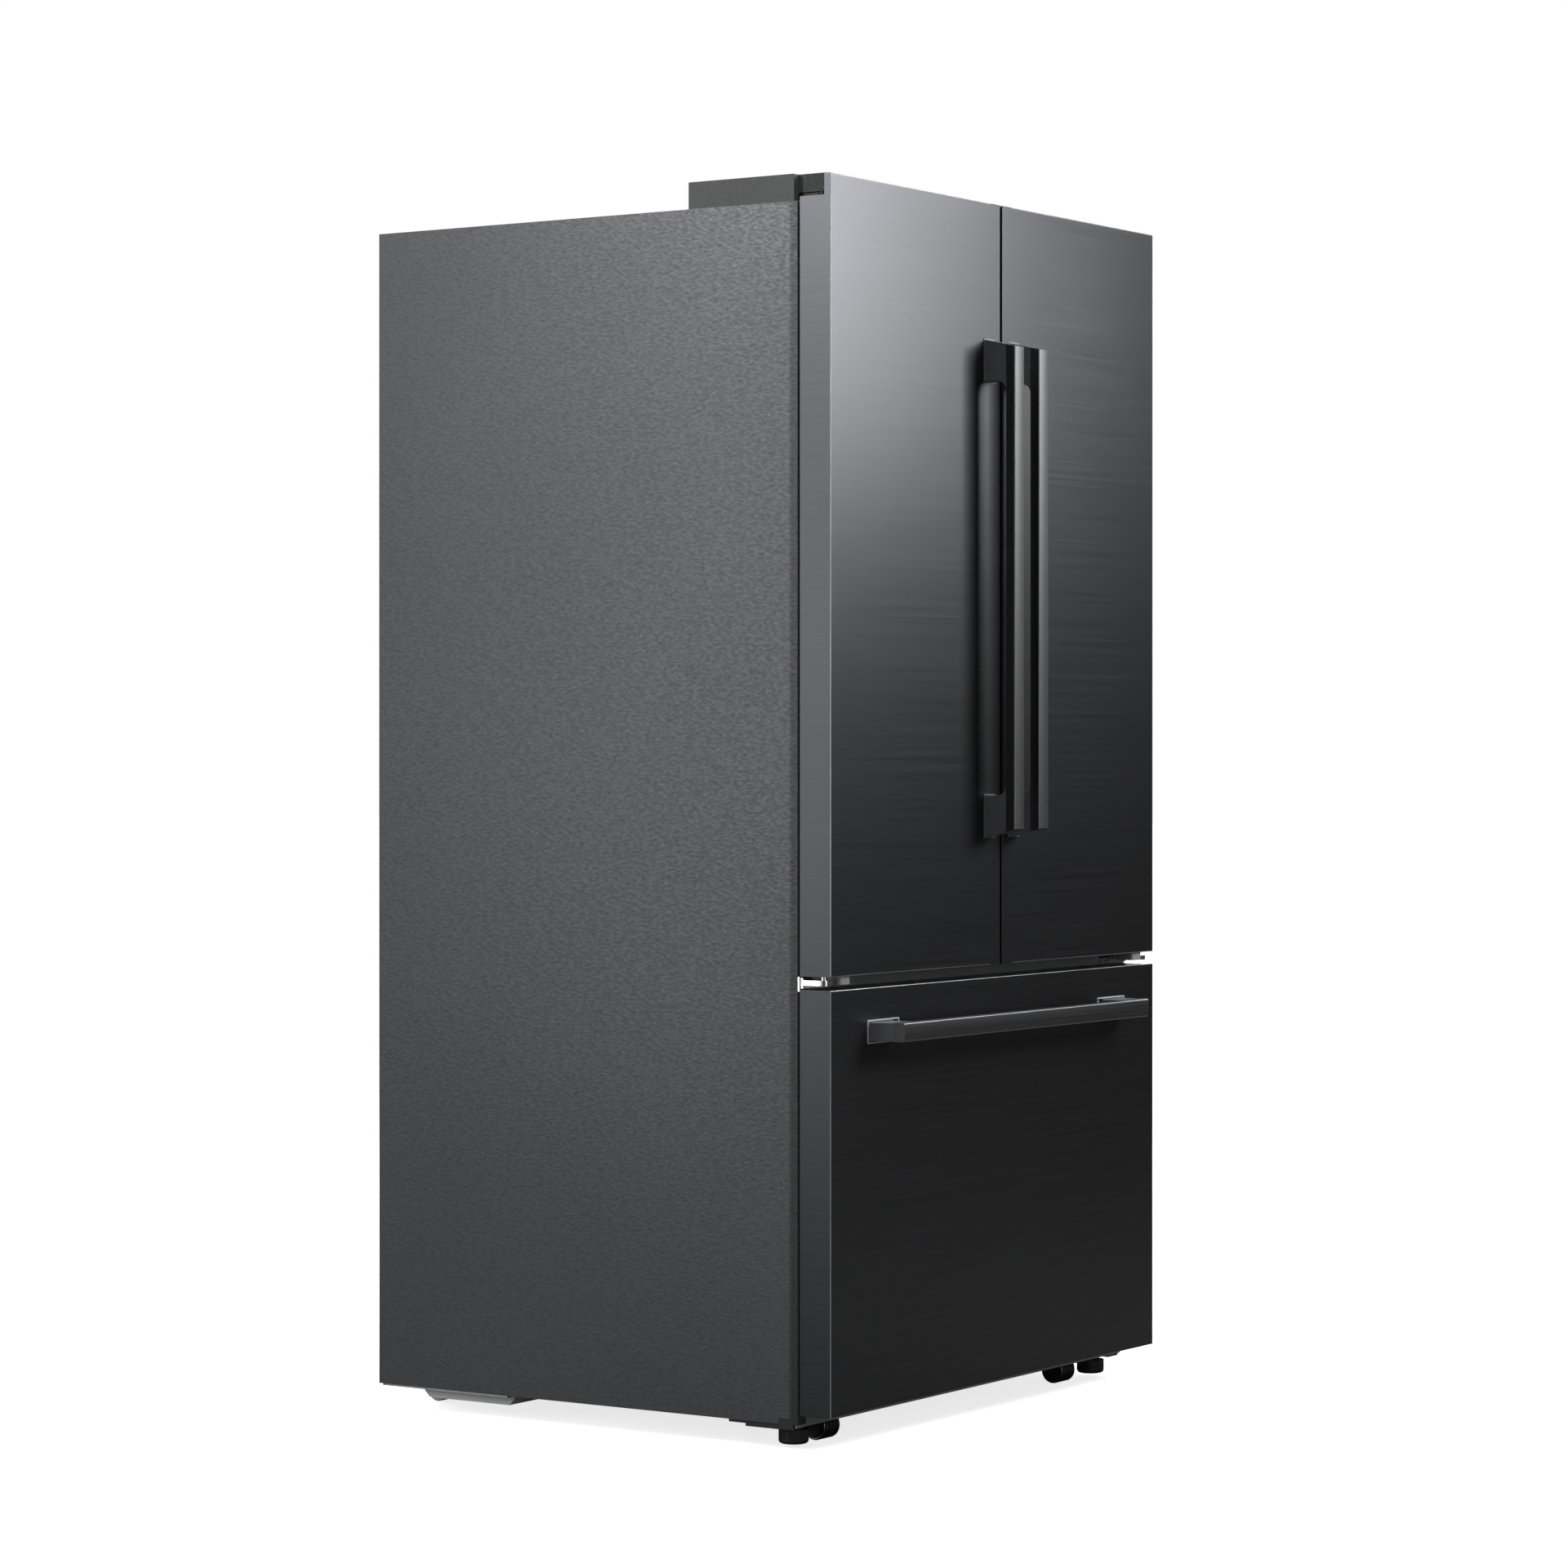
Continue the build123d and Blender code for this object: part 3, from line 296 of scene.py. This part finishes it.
    def bump(self, source, depth, strength=1.0):
        """Relief of a depth in metres, chained on what is there already."""
        bump = self.node("ShaderNodeBump")
        bump.inputs["Strength"].default_value = strength
        bump.inputs["Distance"].default_value = depth
        self.link(source, bump.inputs["Height"])
        if self.normal:
            self.link(self.normal, bump.inputs["Normal"])
        self.normal = bump.outputs["Normal"]
        self.link(self.normal, self.shader.inputs["Normal"])
        return self


# ---------------------------------------------------------------- materials
BRUSH, BRUSH_RUN = 520.0, 1.5        # frequency of brushed noise across and along its lines


def side_paint():
    """Charcoal paint with fine slanting streaks, with painted shade in a band along its front where the
    sheet turns.
    """
    look = Look("side_paint", (0.068, 0.07, 0.074), 0.35, 0.42)
    look.set("Specular IOR Level", 0.45)
    slant = 0.65
    streaks = look.noise(300, (1, 0.42, 1), (slant, 0, 0), 2.0, 0.5)
    pebbles = look.cells(520, (1, 0.6, 1))
    cloud = look.noise(2.2, detail=3.0)
    look.tint(streaks, 0.8, 1.26)
    look.tint(cloud, 0.95, 1.05)
    case_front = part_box("side_panel_left")[0][1]
    # painted shade: the front band of the side, where the sheet turns into the corner, is darkened
    look.tint(look.along("Y"), 0.42, 1.0, case_front + 0.010, case_front + 0.016)
    look.gloss(streaks, 0.48, 0.36)
    look.bump(streaks, 0.0002, 0.9)
    look.bump(pebbles, 0.00006, 0.5)
    return look.material


def brushed(name, color, roughness, along=(BRUSH_RUN, BRUSH_RUN, BRUSH), edge_highlight_grey=0.0, seam=0.0):
    """Brushed metal with long fine lines; along multiplies the frequency on each axis; where a grey is
    given, a painted highlight of that grey goes on rounded edges.
    """
    look = Look(name, color, 1.0, roughness)
    lines = look.noise(1.6, along, detail=5.0, rough=0.75)
    fine = look.noise(4.5, along, detail=3.0, rough=0.7)
    cloud = look.noise(1.7, detail=2.0)
    look.tint(lines, 0.86, 1.16)
    look.tint(fine, 0.93, 1.07)
    look.tint(cloud, 0.96, 1.04)
    look.gloss(lines, roughness - 0.04, roughness + 0.06)
    look.bump(lines, 0.00003, 0.7)
    # painted highlight: bright grey on the rounded edges, kept off the seam
    if edge_highlight_grey:
        look.paint_edge_highlight(edge_highlight_grey, seam)
    return look.material


def paint(name, color, roughness, metallic=0.0):
    """Smooth powder paint with a slight orange peel and faint wear."""
    look = Look(name, color, metallic, roughness)
    look.tint(look.noise(9, detail=4.0), 0.92, 1.07)
    look.gloss(look.noise(60, detail=3.0), roughness - 0.05, roughness + 0.08)
    look.bump(look.cells(900), 0.00004, 0.6)
    return look.material


def moulded(name, color, roughness, grain=0.00005, smoother=0.06, duller=0.08):
    """Moulded plastic with a fine spark-eroded grain, as a look that can take more."""
    look = Look(name, color, 0.0, roughness)
    look.tint(look.noise(14, detail=3.0), 0.95, 1.05)
    look.gloss(look.noise(240, detail=3.0), roughness - smoother, roughness + duller)
    look.bump(look.noise(1400, detail=2.0), grain, 0.5)
    return look


def plastic(name, color, roughness, grain=0.00005):
    """Moulded plastic of one colour."""
    return moulded(name, color, roughness, grain).material


def cover_plastic():
    """Grey-green plastic of the hinge covers, darker where it reaches over the doors."""
    look = moulded("cover_plastic", (0.073, 0.078, 0.075), 0.5)
    look.set("Specular IOR Level", 0.2)
    case_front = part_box("side_panel_left")[0][1]
    look.tint(look.along("Y"), 0.36, 1.0, case_front - 0.004, case_front - 0.002)
    return look.material


def door_plastic():
    """White plastic of the door liners; the stop block under each door is grey."""
    look = moulded("door_plastic", (0.8, 0.81, 0.82), 0.35, smoother=0.05, duller=0.07)
    look.stain_below(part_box("left_door_skin")[0][2], (0.2, 0.2, 0.205))
    return look.material


def clear(name, color, roughness, transmission):
    """Transparent plastic or glass with faint smears."""
    look = Look(name, color, 0.0, roughness)
    look.set("Transmission Weight", transmission)
    look.set("IOR", 1.49)
    look.gloss(look.noise(12, detail=4.0), roughness, roughness + 0.06)
    look.bump(look.noise(30, detail=2.0), 0.00002, 0.3)
    look.tint(look.noise(5), 0.97, 1.0)
    return look.material


def foam():
    """Rigid foam, pale yellow with small pores."""
    look = Look("foam", (0.72, 0.62, 0.38), 0.0, 0.9)
    look.tint(look.cells(420), 0.8, 1.08, 0.1, 0.6)
    look.bump(look.cells(420), 0.0004, 0.6)
    return look.material


def galvanised(name, color, roughness):
    """Zinc-coated sheet with a faint spangle."""
    look = Look(name, color, 0.9, roughness)
    look.tint(look.cells(190), 0.93, 1.06, 0.1, 0.7)
    look.tint(look.noise(3, detail=3.0), 0.95, 1.05)
    look.gloss(look.cells(190), roughness - 0.04, roughness + 0.07, 0.1, 0.7)
    look.bump(look.noise(300, detail=2.0), 0.00003, 0.5)
    return look.material


def make_materials():
    """All materials by name."""
    black_steel, handle_steel = (0.06, 0.061, 0.065), (0.082, 0.083, 0.087)
    upright = (BRUSH, BRUSH, BRUSH_RUN)
    crosswise = (BRUSH_RUN, BRUSH, BRUSH)
    even = (90, 90, 90)
    return {
        "side_paint": side_paint(),
        # painted highlights on the rounded edges of the doors, drawer and handles
        "door_stainless": brushed("door_stainless", black_steel, 0.36, edge_highlight_grey=0.7, seam=0.03),
        "drawer_stainless": brushed("drawer_stainless", black_steel, 0.36, edge_highlight_grey=0.5),
        "handle_upright": brushed("handle_upright", handle_steel, 0.46, upright, 0.16),
        "handle_cross": brushed("handle_cross", (0.085, 0.086, 0.09), 0.42, crosswise, 0.25),
        "handle_post": paint("handle_post", (0.12, 0.122, 0.128), 0.45, 0.3),
        # light grey rose round the drawer handle's posts: a painted highlight
        "rose_painted_highlight": paint("rose_painted_highlight", (0.55, 0.55, 0.56), 0.45, 0.4),
        "case_steel": galvanised("case_steel", (0.34, 0.35, 0.36), 0.45),
        "rail_paint": paint("rail_paint", (0.26, 0.27, 0.275), 0.45),
        "hinge_zinc": brushed("hinge_zinc", (0.78, 0.78, 0.79), 0.2, even),
        "dark_steel": paint("dark_steel", (0.012, 0.012, 0.013), 0.5, 0.3),
        "cover_plastic": cover_plastic(),
        "flap_plastic": plastic("flap_plastic", (0.036, 0.039, 0.037), 0.5),
        "black_plastic": plastic("black_plastic", (0.018, 0.018, 0.019), 0.42),
        "white_plastic": plastic("white_plastic", (0.8, 0.81, 0.82), 0.35),
        "door_plastic": door_plastic(),
        "seal_rubber": plastic("seal_rubber", (0.03, 0.03, 0.032), 0.7, 0.0001),
        "clear_plastic": clear("clear_plastic", (0.86, 0.93, 0.97), 0.06, 0.92),
        "glass": clear("glass", (0.82, 0.93, 0.9), 0.02, 0.95),
        "foam": foam(),
        "compressor_paint": paint("compressor_paint", (0.012, 0.012, 0.014), 0.3),
        "tube_paint": paint("tube_paint", (0.02, 0.02, 0.02), 0.4),
        "coil_aluminium": brushed("coil_aluminium", (0.7, 0.71, 0.72), 0.3, even),
        "zinc_steel": galvanised("zinc_steel", (0.6, 0.61, 0.62), 0.38),
        "lens": plastic("lens", (0.9, 0.92, 0.95), 0.25),
        "panel_gloss": plastic("panel_gloss", (0.015, 0.016, 0.018), 0.12, 0.00001),
    }


NODE_LOOKS = {
    "side_paint": ("side_panel_left", "side_panel_right"),
    "door_stainless": ("left_door_skin", "right_door_skin"),
    "drawer_stainless": ("drawer_front_skin",),
    "handle_upright": ("left_handle_bar", "right_handle_bar"),
    "handle_cross": ("drawer_handle_bar",),
    "handle_post": ("left_handle_posts", "right_handle_posts", "drawer_handle_posts"),
    "case_steel": ("top_panel", "back_panel", "bottom_panel"),
    "rail_paint": ("front_rails",),
    "hinge_zinc": ("middle_hinges", "hinge_screws"),
    "dark_steel": ("top_hinges",),
    "cover_plastic": ("hinge_covers",),
    "flap_plastic": ("mullion_flap",),
    "black_plastic": (
        "front_leg_brackets", "foot_left", "foot_right", "roller_front_left", "roller_front_right",
        "condenser_fan_shroud", "condenser_fan", "evaporator_fan", "machine_cover",
    ),
    "white_plastic": (
        "fresh_food_liner", "freezer_liner", "drawer_front_liner", "air_tower", "evaporator_cover",
        "drain_pan", "shelf_trims", "roller_rear_left", "roller_rear_right",
    ),
    "door_plastic": ("left_door_liner", "right_door_liner"),
    "seal_rubber": ("left_door_gasket", "right_door_gasket", "drawer_gasket"),
    "clear_plastic": (
        "crisper_left", "crisper_right", "left_door_bins", "right_door_bins",
        "freezer_lower_bin", "freezer_upper_basket",
    ),
    "glass": ("shelf_glass",),
    "foam": ("cabinet_foam",),
    "compressor_paint": ("compressor",),
    "tube_paint": ("condenser_coil",),
    "coil_aluminium": ("evaporator",),
    "zinc_steel": ("machine_base", "drawer_frame", "drawer_rails_fixed", "drawer_rails_middle"),
    "lens": ("light_lens",),
    "panel_gloss": ("control_panel",),
}


def dress_nodes(materials):
    """Give every CAD node its material."""
    for look, names in NODE_LOOKS.items():
        for name in names:
            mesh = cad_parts[name].data
            mesh.materials.clear()
            mesh.materials.append(materials[look])


# ---------------------------------------------------------------- piece helpers
def islands(name):
    """Lowest and highest corners of each separate solid of a node."""
    mesh = bmesh.new()
    mesh.from_mesh(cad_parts[name].data)
    bmesh.ops.remove_doubles(mesh, verts=mesh.verts, dist=1e-5)
    mesh.verts.ensure_lookup_table()
    left = set(range(len(mesh.verts)))
    boxes = []
    while left:
        stack = [left.pop()]
        found = []
        while stack:
            vert = mesh.verts[stack.pop()]
            found.append(vert.co.copy())
            for edge in vert.link_edges:
                other = edge.other_vert(vert).index
                if other in left:
                    left.remove(other)
                    stack.append(other)
        low = Vector(min(co[axis] for co in found) for axis in range(3))
        high = Vector(max(co[axis] for co in found) for axis in range(3))
        boxes.append((low, high))
    mesh.free()
    return sorted(boxes, key=lambda pair: (round(pair[0].z, 3), pair[0].x))


def middles(start, end, count):
    """Middles of the equal shares of a stretch."""
    return [start + (end - start) * (at + 0.5) / count for at in range(count)]


def steps(start, end, count):
    """Evenly spaced places from one end of a stretch to the other."""
    return [start + (end - start) * at / (count - 1) for at in range(count)]


SHARP = math.radians(40)             # edges that turn by more than this aren't smoothed


class Piece:
    """One mesh piece, built up from rounded slabs, rods, rings and swept frames."""

    def __init__(self, name):
        self.name = name
        self.mesh = bmesh.new()

    def slab(self, low, high, radius=0.0006):
        """Slab with rounded edges between two corners."""
        made = bmesh.ops.create_cube(self.mesh, size=1.0)["verts"]
        low, high = Vector(low), Vector(high)
        middle, size = (low + high) / 2, high - low
        for vert in made:
            vert.co = Vector(m + s * c for m, s, c in zip(middle, size, vert.co))
        edges = list({edge for vert in made for edge in vert.link_edges})
        radius = min(radius, *(0.45 * abs(s) for s in size))
        bmesh.ops.bevel(self.mesh, geom=edges, offset=radius, segments=3, profile=0.5, affect="EDGES")
        return self

    def rod(self, start, end, radius, sides=32, rim=0.0004):
        """Round bar with rounded rims between two points."""
        start, end = Vector(start), Vector(end)
        run = end - start
        turn = run.to_track_quat("Z", "Y").to_matrix().to_4x4()
        made = bmesh.ops.create_cone(
            self.mesh, segments=sides, radius1=radius, radius2=radius, depth=run.length,
            cap_ends=True, matrix=Matrix.Translation((start + end) / 2) @ turn,
        )["verts"]
        faces = {face for vert in made for face in vert.link_faces}
        edges = list({edge for cap in faces if len(cap.verts) == sides for edge in cap.edges})
        rim = min(rim, 0.4 * radius, 0.4 * run.length)
        bmesh.ops.bevel(self.mesh, geom=edges, offset=rim, segments=2, profile=0.5, affect="EDGES")
        return self

    def ring(self, centre, axis, radius, thick, sides=48, around=10):
        """Round wire bent into a circle about an axis."""
        turn = Vector(axis).to_track_quat("Z", "Y").to_matrix()
        loops = []
        for step in range(sides):
            angle = math.tau * step / sides
            out = Vector((math.cos(angle), math.sin(angle), 0))
            loop = []
            for part in range(around):
                tilt = math.tau * part / around
                rise = Vector((0, 0, thick * math.sin(tilt)))
                spot = out * (radius + thick * math.cos(tilt)) + rise
                loop.append(self.mesh.verts.new(Vector(centre) + turn @ spot))
            loops.append(loop)
        self.skin(loops, closed=True)
        return self

    def frame(self, low, high, profile, radius, turns=6):
        """Profile of (inset, y) points swept round a rectangle in the XZ plane."""
        corners = (                  # place and quarter turn
            (high[0], high[2], 0), (low[0], high[2], 1), (low[0], low[2], 2), (high[0], low[2], 3),
        )
        loops = []
        for x, z, quarter in corners:
            centre_x = x - radius if x == high[0] else x + radius
            centre_z = z - radius if z == high[2] else z + radius
            for turn in range(turns + 1):
                angle = math.pi / 2 * (quarter + turn / turns)
                loop = []
                for inset, y in profile:
                    reach = radius - inset
                    spot = (centre_x + reach * math.cos(angle), y, centre_z + reach * math.sin(angle))
                    loop.append(self.mesh.verts.new(spot))
                loops.append(loop)
        self.skin(loops, closed=True)
        return self

    def skin(self, loops, closed):
        """Faces between neighbouring loops of equal length."""
        pairs = list(zip(loops, loops[1:]))
        if closed:
            pairs.append((loops[-1], loops[0]))
        for one, two in pairs:
            for at, vert in enumerate(one):
                after = (at + 1) % len(one)
                self.mesh.faces.new((vert, one[after], two[after], two[at]))

    def done(self, body, material, slot, replaced=None):
        """Make the object, give it its material and let it ride on a body."""
        bmesh.ops.recalc_face_normals(self.mesh, faces=self.mesh.faces)
        data = bpy.data.meshes.new(self.name)
        self.mesh.to_mesh(data)
        self.mesh.free()
        data.materials.append(materials[material])
        made = add_object(self.name, data)
        data.shade_smooth()
        data.set_sharp_from_angle(angle=SHARP)
        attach(made, body)
        if replaced:
            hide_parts(replaced)
        return made


# ---------------------------------------------------------------- doors and handles
SUNK = 0.0004                        # how deep trim sits in the face that carries it


def seals():
    """Magnetic seals with their bellows folds, in place of the plain frames."""
    corner = 0.017
    folds = (                        # inset from the outline, share of the seal's depth
        (0.0, 0.0), (0.0006, 0.6), (0.002, 0.75), (0.0032, 0.45), (0.0044, 0.8), (0.006, 1.0),
        (0.0115, 1.0), (0.0128, 0.8), (0.0138, 0.45), (0.015, 0.75), (0.016, 0.4), (0.016, 0.0),
    )
    for node, body in (("left_door_gasket", "left_door"), ("right_door_gasket", "right_door"),
                       ("drawer_gasket", "freezer_drawer")):
        low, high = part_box(node)
        profile = [(inset, low[1] + rise * (high[1] - low[1])) for inset, rise in folds]
        seal = Piece(f"{node}_bellows").frame(low, high, profile, corner)
        seal.done(body, "seal_rubber", "seal_rubber", node)


def roses():
    """Thin rose round the foot of each post of the drawer's handle, light grey as a painted highlight
    along the posts' edges.
    """
    proud, thick, corner = 0.0017, 0.0016, 0.0015
    outline = Piece("drawer_handle_roses")
    for low, high in islands("drawer_handle_posts"):
        front, back = high[1] - thick, high[1]
        profile = [(0.0, back), (0.0, front), (proud, front), (proud, back)]
        edge_low = (low[0] - proud, 0, low[2] - proud)
        edge_high = (high[0] + proud, 0, high[2] + proud)
        outline.frame(edge_low, edge_high, profile, corner, 3)
    outline.done("freezer_drawer", "rose_painted_highlight", "hinge_zinc")


def bin_trim():
    """Chrome bands and moulded ribs on the front of each door bin."""
    margin, rib_count, rib_half, rib_sunk = 0.014, 11, 0.001, 0.0003
    band_proud, line_proud, rib_proud = 0.0016, 0.001, 0.0012
    rib_foot, rib_head = 0.012, 0.034
    for name in ("left_door", "right_door"):
        bands = Piece(f"{name}_bin_bands")
        ribs = Piece(f"{name}_bin_ribs")
        for low, high in islands(f"{name}_bins"):
            left, right = low[0] + margin, high[0] - margin
            front, top = high[1], high[2]
            back = front - SUNK
            bands.slab((left, back, top - 0.026), (right, front + band_proud, top - 0.012))
            bands.slab((left, back, top - 0.0095), (right, front + line_proud, top - 0.007))
            for x in middles(left, right, rib_count):
                foot = (x - rib_half, front - rib_sunk, low[2] + rib_foot)
                ribs.slab(foot, (x + rib_half, front + rib_proud, top - rib_head))
        bands.done(name, "hinge_zinc", "hinge_zinc")
        ribs.done(name, "clear_plastic", "clear_plastic")


def flap_trim():
    """Two magnet strips along the face of the mullion flap."""
    proud, width, end, rim = 0.0012, 0.012, 0.03, 0.006
    low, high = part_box("mullion_flap")
    face, back = low[0], high[1] - rim
    strips = Piece("mullion_flap_strip")
    for start in (0.012, 0.036):
        strips.slab(
            (face - proud, back - start - width, low[2] + end),
            (face + SUNK, back - start, high[2] - end),
        )
    strips.done("mullion_flap", "seal_rubber", "seal_rubber")


# ---------------------------------------------------------------- fresh food fittings
def shelf_bands():
    """Bright extrusion with a lip along the front of each shelf."""
    end = 0.002
    band_proud, lip_proud = 0.0022, 0.003
    bands = Piece("shelf_front_bands")
    for low, high in islands("shelf_trims"):
        left, right = low[0] + end, high[0] - end
        front, top = low[1], high[2]
        bands.slab((left, front - band_proud, top - 0.0125), (right, front + SUNK, top - 0.0015), 0.001)
        bands.slab((left, front - lip_proud, top - 0.0045), (right, front, top - 0.0025), 0.0008)
    bands.done("cabinet", "coil_aluminium", "hinge_zinc")


def crisper_trim():
    """White strips at the top and bottom of each crisper's front, and ribs between them."""
    grip = 0.012                     # the grip stands this far in front of the crisper
    end, rib_end, rib_count, rib_half, rib_sunk = 0.004, 0.02, 24, 0.0012, 0.0003
    top_proud, foot_proud, rib_proud = 0.0018, 0.0012, 0.001
    for name in ("crisper_left", "crisper_right"):
        low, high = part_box(name)
        front, foot, top = low[1] + grip, low[2], high[2]
        left, right = low[0] + end, high[0] - end
        strips = Piece(f"{name}_front_trim")
        strips.slab((left, front - top_proud, top - 0.017), (right, front + SUNK, top - 0.002))
        strips.slab((left, front - foot_proud, foot + 0.006), (right, front + SUNK, foot + 0.014))
        strips.done(name, "white_plastic", "white_plastic")
        ribs = Piece(f"{name}_front_ribs")
        for x in middles(low[0] + rib_end, high[0] - rib_end, rib_count):
            ribs.slab(
                (x - rib_half, front - rib_proud, foot + 0.02),
                (x + rib_half, front + rib_sunk, top - 0.034),
            )
        ribs.done(name, "clear_plastic", "clear_plastic")


def panel_icons():
    """Touch rings with a dot in each, and level bars, under the control panel."""
    ring_r, ring_thick, dot_r, proud, sunk = 0.008, 0.0005, 0.003, 0.0005, 0.0003
    bar_half, bar_pitch, bar_start, bar_near, bar_far = 0.0025, 0.008, -0.012, 0.019, 0.017
    low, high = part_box("control_panel")
    under = low[2]
    middle = (low[1] + high[1]) / 2
    marks = Piece("control_panel_marks")
    for x in middles(low[0], high[0], 5):
        marks.ring((x, middle, under - 0.0002), (0, 0, 1), ring_r, ring_thick)
        marks.rod((x, middle, under + sunk), (x, middle, under - proud), dot_r)
        for bar in range(4):
            at = x + bar_start + bar * bar_pitch
            marks.slab(
                (at - bar_half, middle - bar_near, under - 0.0004),
                (at + bar_half, middle - bar_far, under + sunk), 0.0003,
            )
    marks.done("cabinet", "lens", "white_plastic")


def lens_ribs():
    """Prism ribs across the light lens."""
    margin, end, rib_half, proud = 0.01, 0.008, 0.003, 0.001
    low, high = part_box("light_lens")
    ribs = Piece("light_lens_ribs")
    for x in middles(low[0] + margin, high[0] - margin, 30):
        ribs.slab(
            (x - rib_half, low[1] + end, low[2] - proud),
            (x + rib_half, high[1] - end, low[2] + SUNK), 0.0009,
        )
    ribs.done("cabinet", "lens", "white_plastic")


def tower_vanes():
    """Two level vanes in each outlet of the air tower."""
    outlets = (0.278, 0.578, 0.878)  # heights as shares of the tower
    near, far = 0.031, 0.079         # ends of an outlet from the middle
    vane_front, vane_back, thick = 0.030, 0.0225, 0.0012
    vanes = Piece("air_tower_vanes")
    for low, high in islands("air_tower"):
        for share in outlets:
            level = low[2] + share * (high[2] - low[2])
            for left, right in ((-far, -near), (near, far)):
                for rise in (0.003, 0.0075):
                    foot = level + rise
                    vanes.slab(
                        (left, high[1] - vane_front, foot),
                        (right, high[1] - vane_back, foot + thick), 0.0004,
                    )
    vanes.done("cabinet", "white_plastic", "white_plastic")


# ---------------------------------------------------------------- machine space and outside
def compressor_trim():
    """Weld seam of the compressor's shell, and the bolts of its feet."""
    shell_r, foot_x, foot_y = 0.0752, 0.082, 0.046
    low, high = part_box("compressor")
    x, y = (low[0] + high[0]) / 2, (low[1] + high[1]) / 2
    seam = Piece("compressor_seam")
    for height, bead in ((0.098, 0.0016), (0.103, 0.001)):
        seam.ring((x, y, low[2] + height), (0, 0, 1), shell_r, bead, 72)
    seam.done("cabinet", "compressor_paint", "black_plastic")
    bolts = Piece("compressor_bolts")
    deck = low[2] + 0.0187
    stack = (                        # from, to, radius and sides: washer, nut and stud
        (0, 0.0016, 0.0085, 32), (0.0014, 0.006, 0.0052, 6), (0.005, 0.011, 0.0025, 16),
    )
    for at_x in (x - foot_x, x + foot_x):
        for at_y in (y - foot_y, y + foot_y):
            for start, end, radius, sides in stack:
                bolts.rod((at_x, at_y, deck + start), (at_x, at_y, deck + end), radius, sides)
    bolts.done("cabinet", "zinc_steel", "hinge_zinc")


def condenser_wires():
    """Upright wires welded to both faces of the condenser's tube."""
    margin, end, aside, radius = 0.03, 0.022, 0.0037, 0.0008
    low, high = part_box("condenser_coil")
    middle = (low[1] + high[1]) / 2
    wires = Piece("condenser_wires")
    for x in steps(low[0] + margin, high[0] - margin, 22):
        for y in (middle - aside, middle + aside):
            wires.rod((x, y, low[2] + end), (x, y, high[2] - end), radius, 8, 0.0002)
    wires.done("cabinet", "tube_paint", "black_plastic")


def roller_rings():
    """Bright rim and hub ring on both ends of the front rollers."""
    inset, rim_r, hub_r = 0.005, 0.0168, 0.0075
    for name in ("roller_front_left", "roller_front_right"):
        low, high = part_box(name)
        centre = [(a + b) / 2 for a, b in zip(low, high)]
        rings = Piece(f"{name}_rims")
        for x in (low[0] + inset, high[0] - inset):
            spot = (x, centre[1], centre[2])
            rings.ring(spot, (1, 0, 0), rim_r, 0.0005)
            rings.ring(spot, (1, 0, 0), hub_r, 0.0004)
        rings.done(name, "hinge_zinc", "hinge_zinc")


def top_beads():
    """Pressed beads across the top sheet, with the screws along its rear edge."""
    bead_end, bead_gap, bead_pitch, bead_width, bead_rise = 0.09, 0.06, 0.13, 0.022, 0.0014
    screw_end, screw_inset = 0.03, 0.012
    low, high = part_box("top_panel")
    left, right, top = low[0], high[0], high[2]
    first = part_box("hinge_covers")[1][1] + bead_gap
    beads = Piece("top_panel_beads")
    for bead in range(3):
        y = first + bead_pitch * bead
        beads.slab(
            (left + bead_end, y, top - 0.0006),
            (right - bead_end, y + bead_width, top + bead_rise), bead_rise,
        )
    beads.done("cabinet", "case_steel", "case_steel")
    screws = Piece("top_panel_screws")
    y = high[1] - screw_inset
    for x in steps(left + screw_end, right - screw_end, 5):
        screws.rod((x, y, top), (x, y, top + 0.0022), 0.0045, 24, 0.0009)
        screws.rod((x, y, top + 0.0018), (x, y, top + 0.0026), 0.0018, 6, 0.0002)
    screws.done("cabinet", "zinc_steel", "hinge_zinc")


def make_pieces():
    """Everything that is added to the CAD nodes."""
    seals()
    roses()
    bin_trim()
    flap_trim()
    shelf_bands()
    crisper_trim()
    panel_icons()
    lens_ribs()
    tower_vanes()
    compressor_trim()
    condenser_wires()
    roller_rings()
    top_beads()


make_camera()
make_world()
make_floor()
make_lights()
materials = make_materials()
dress_nodes(materials)
make_pieces()
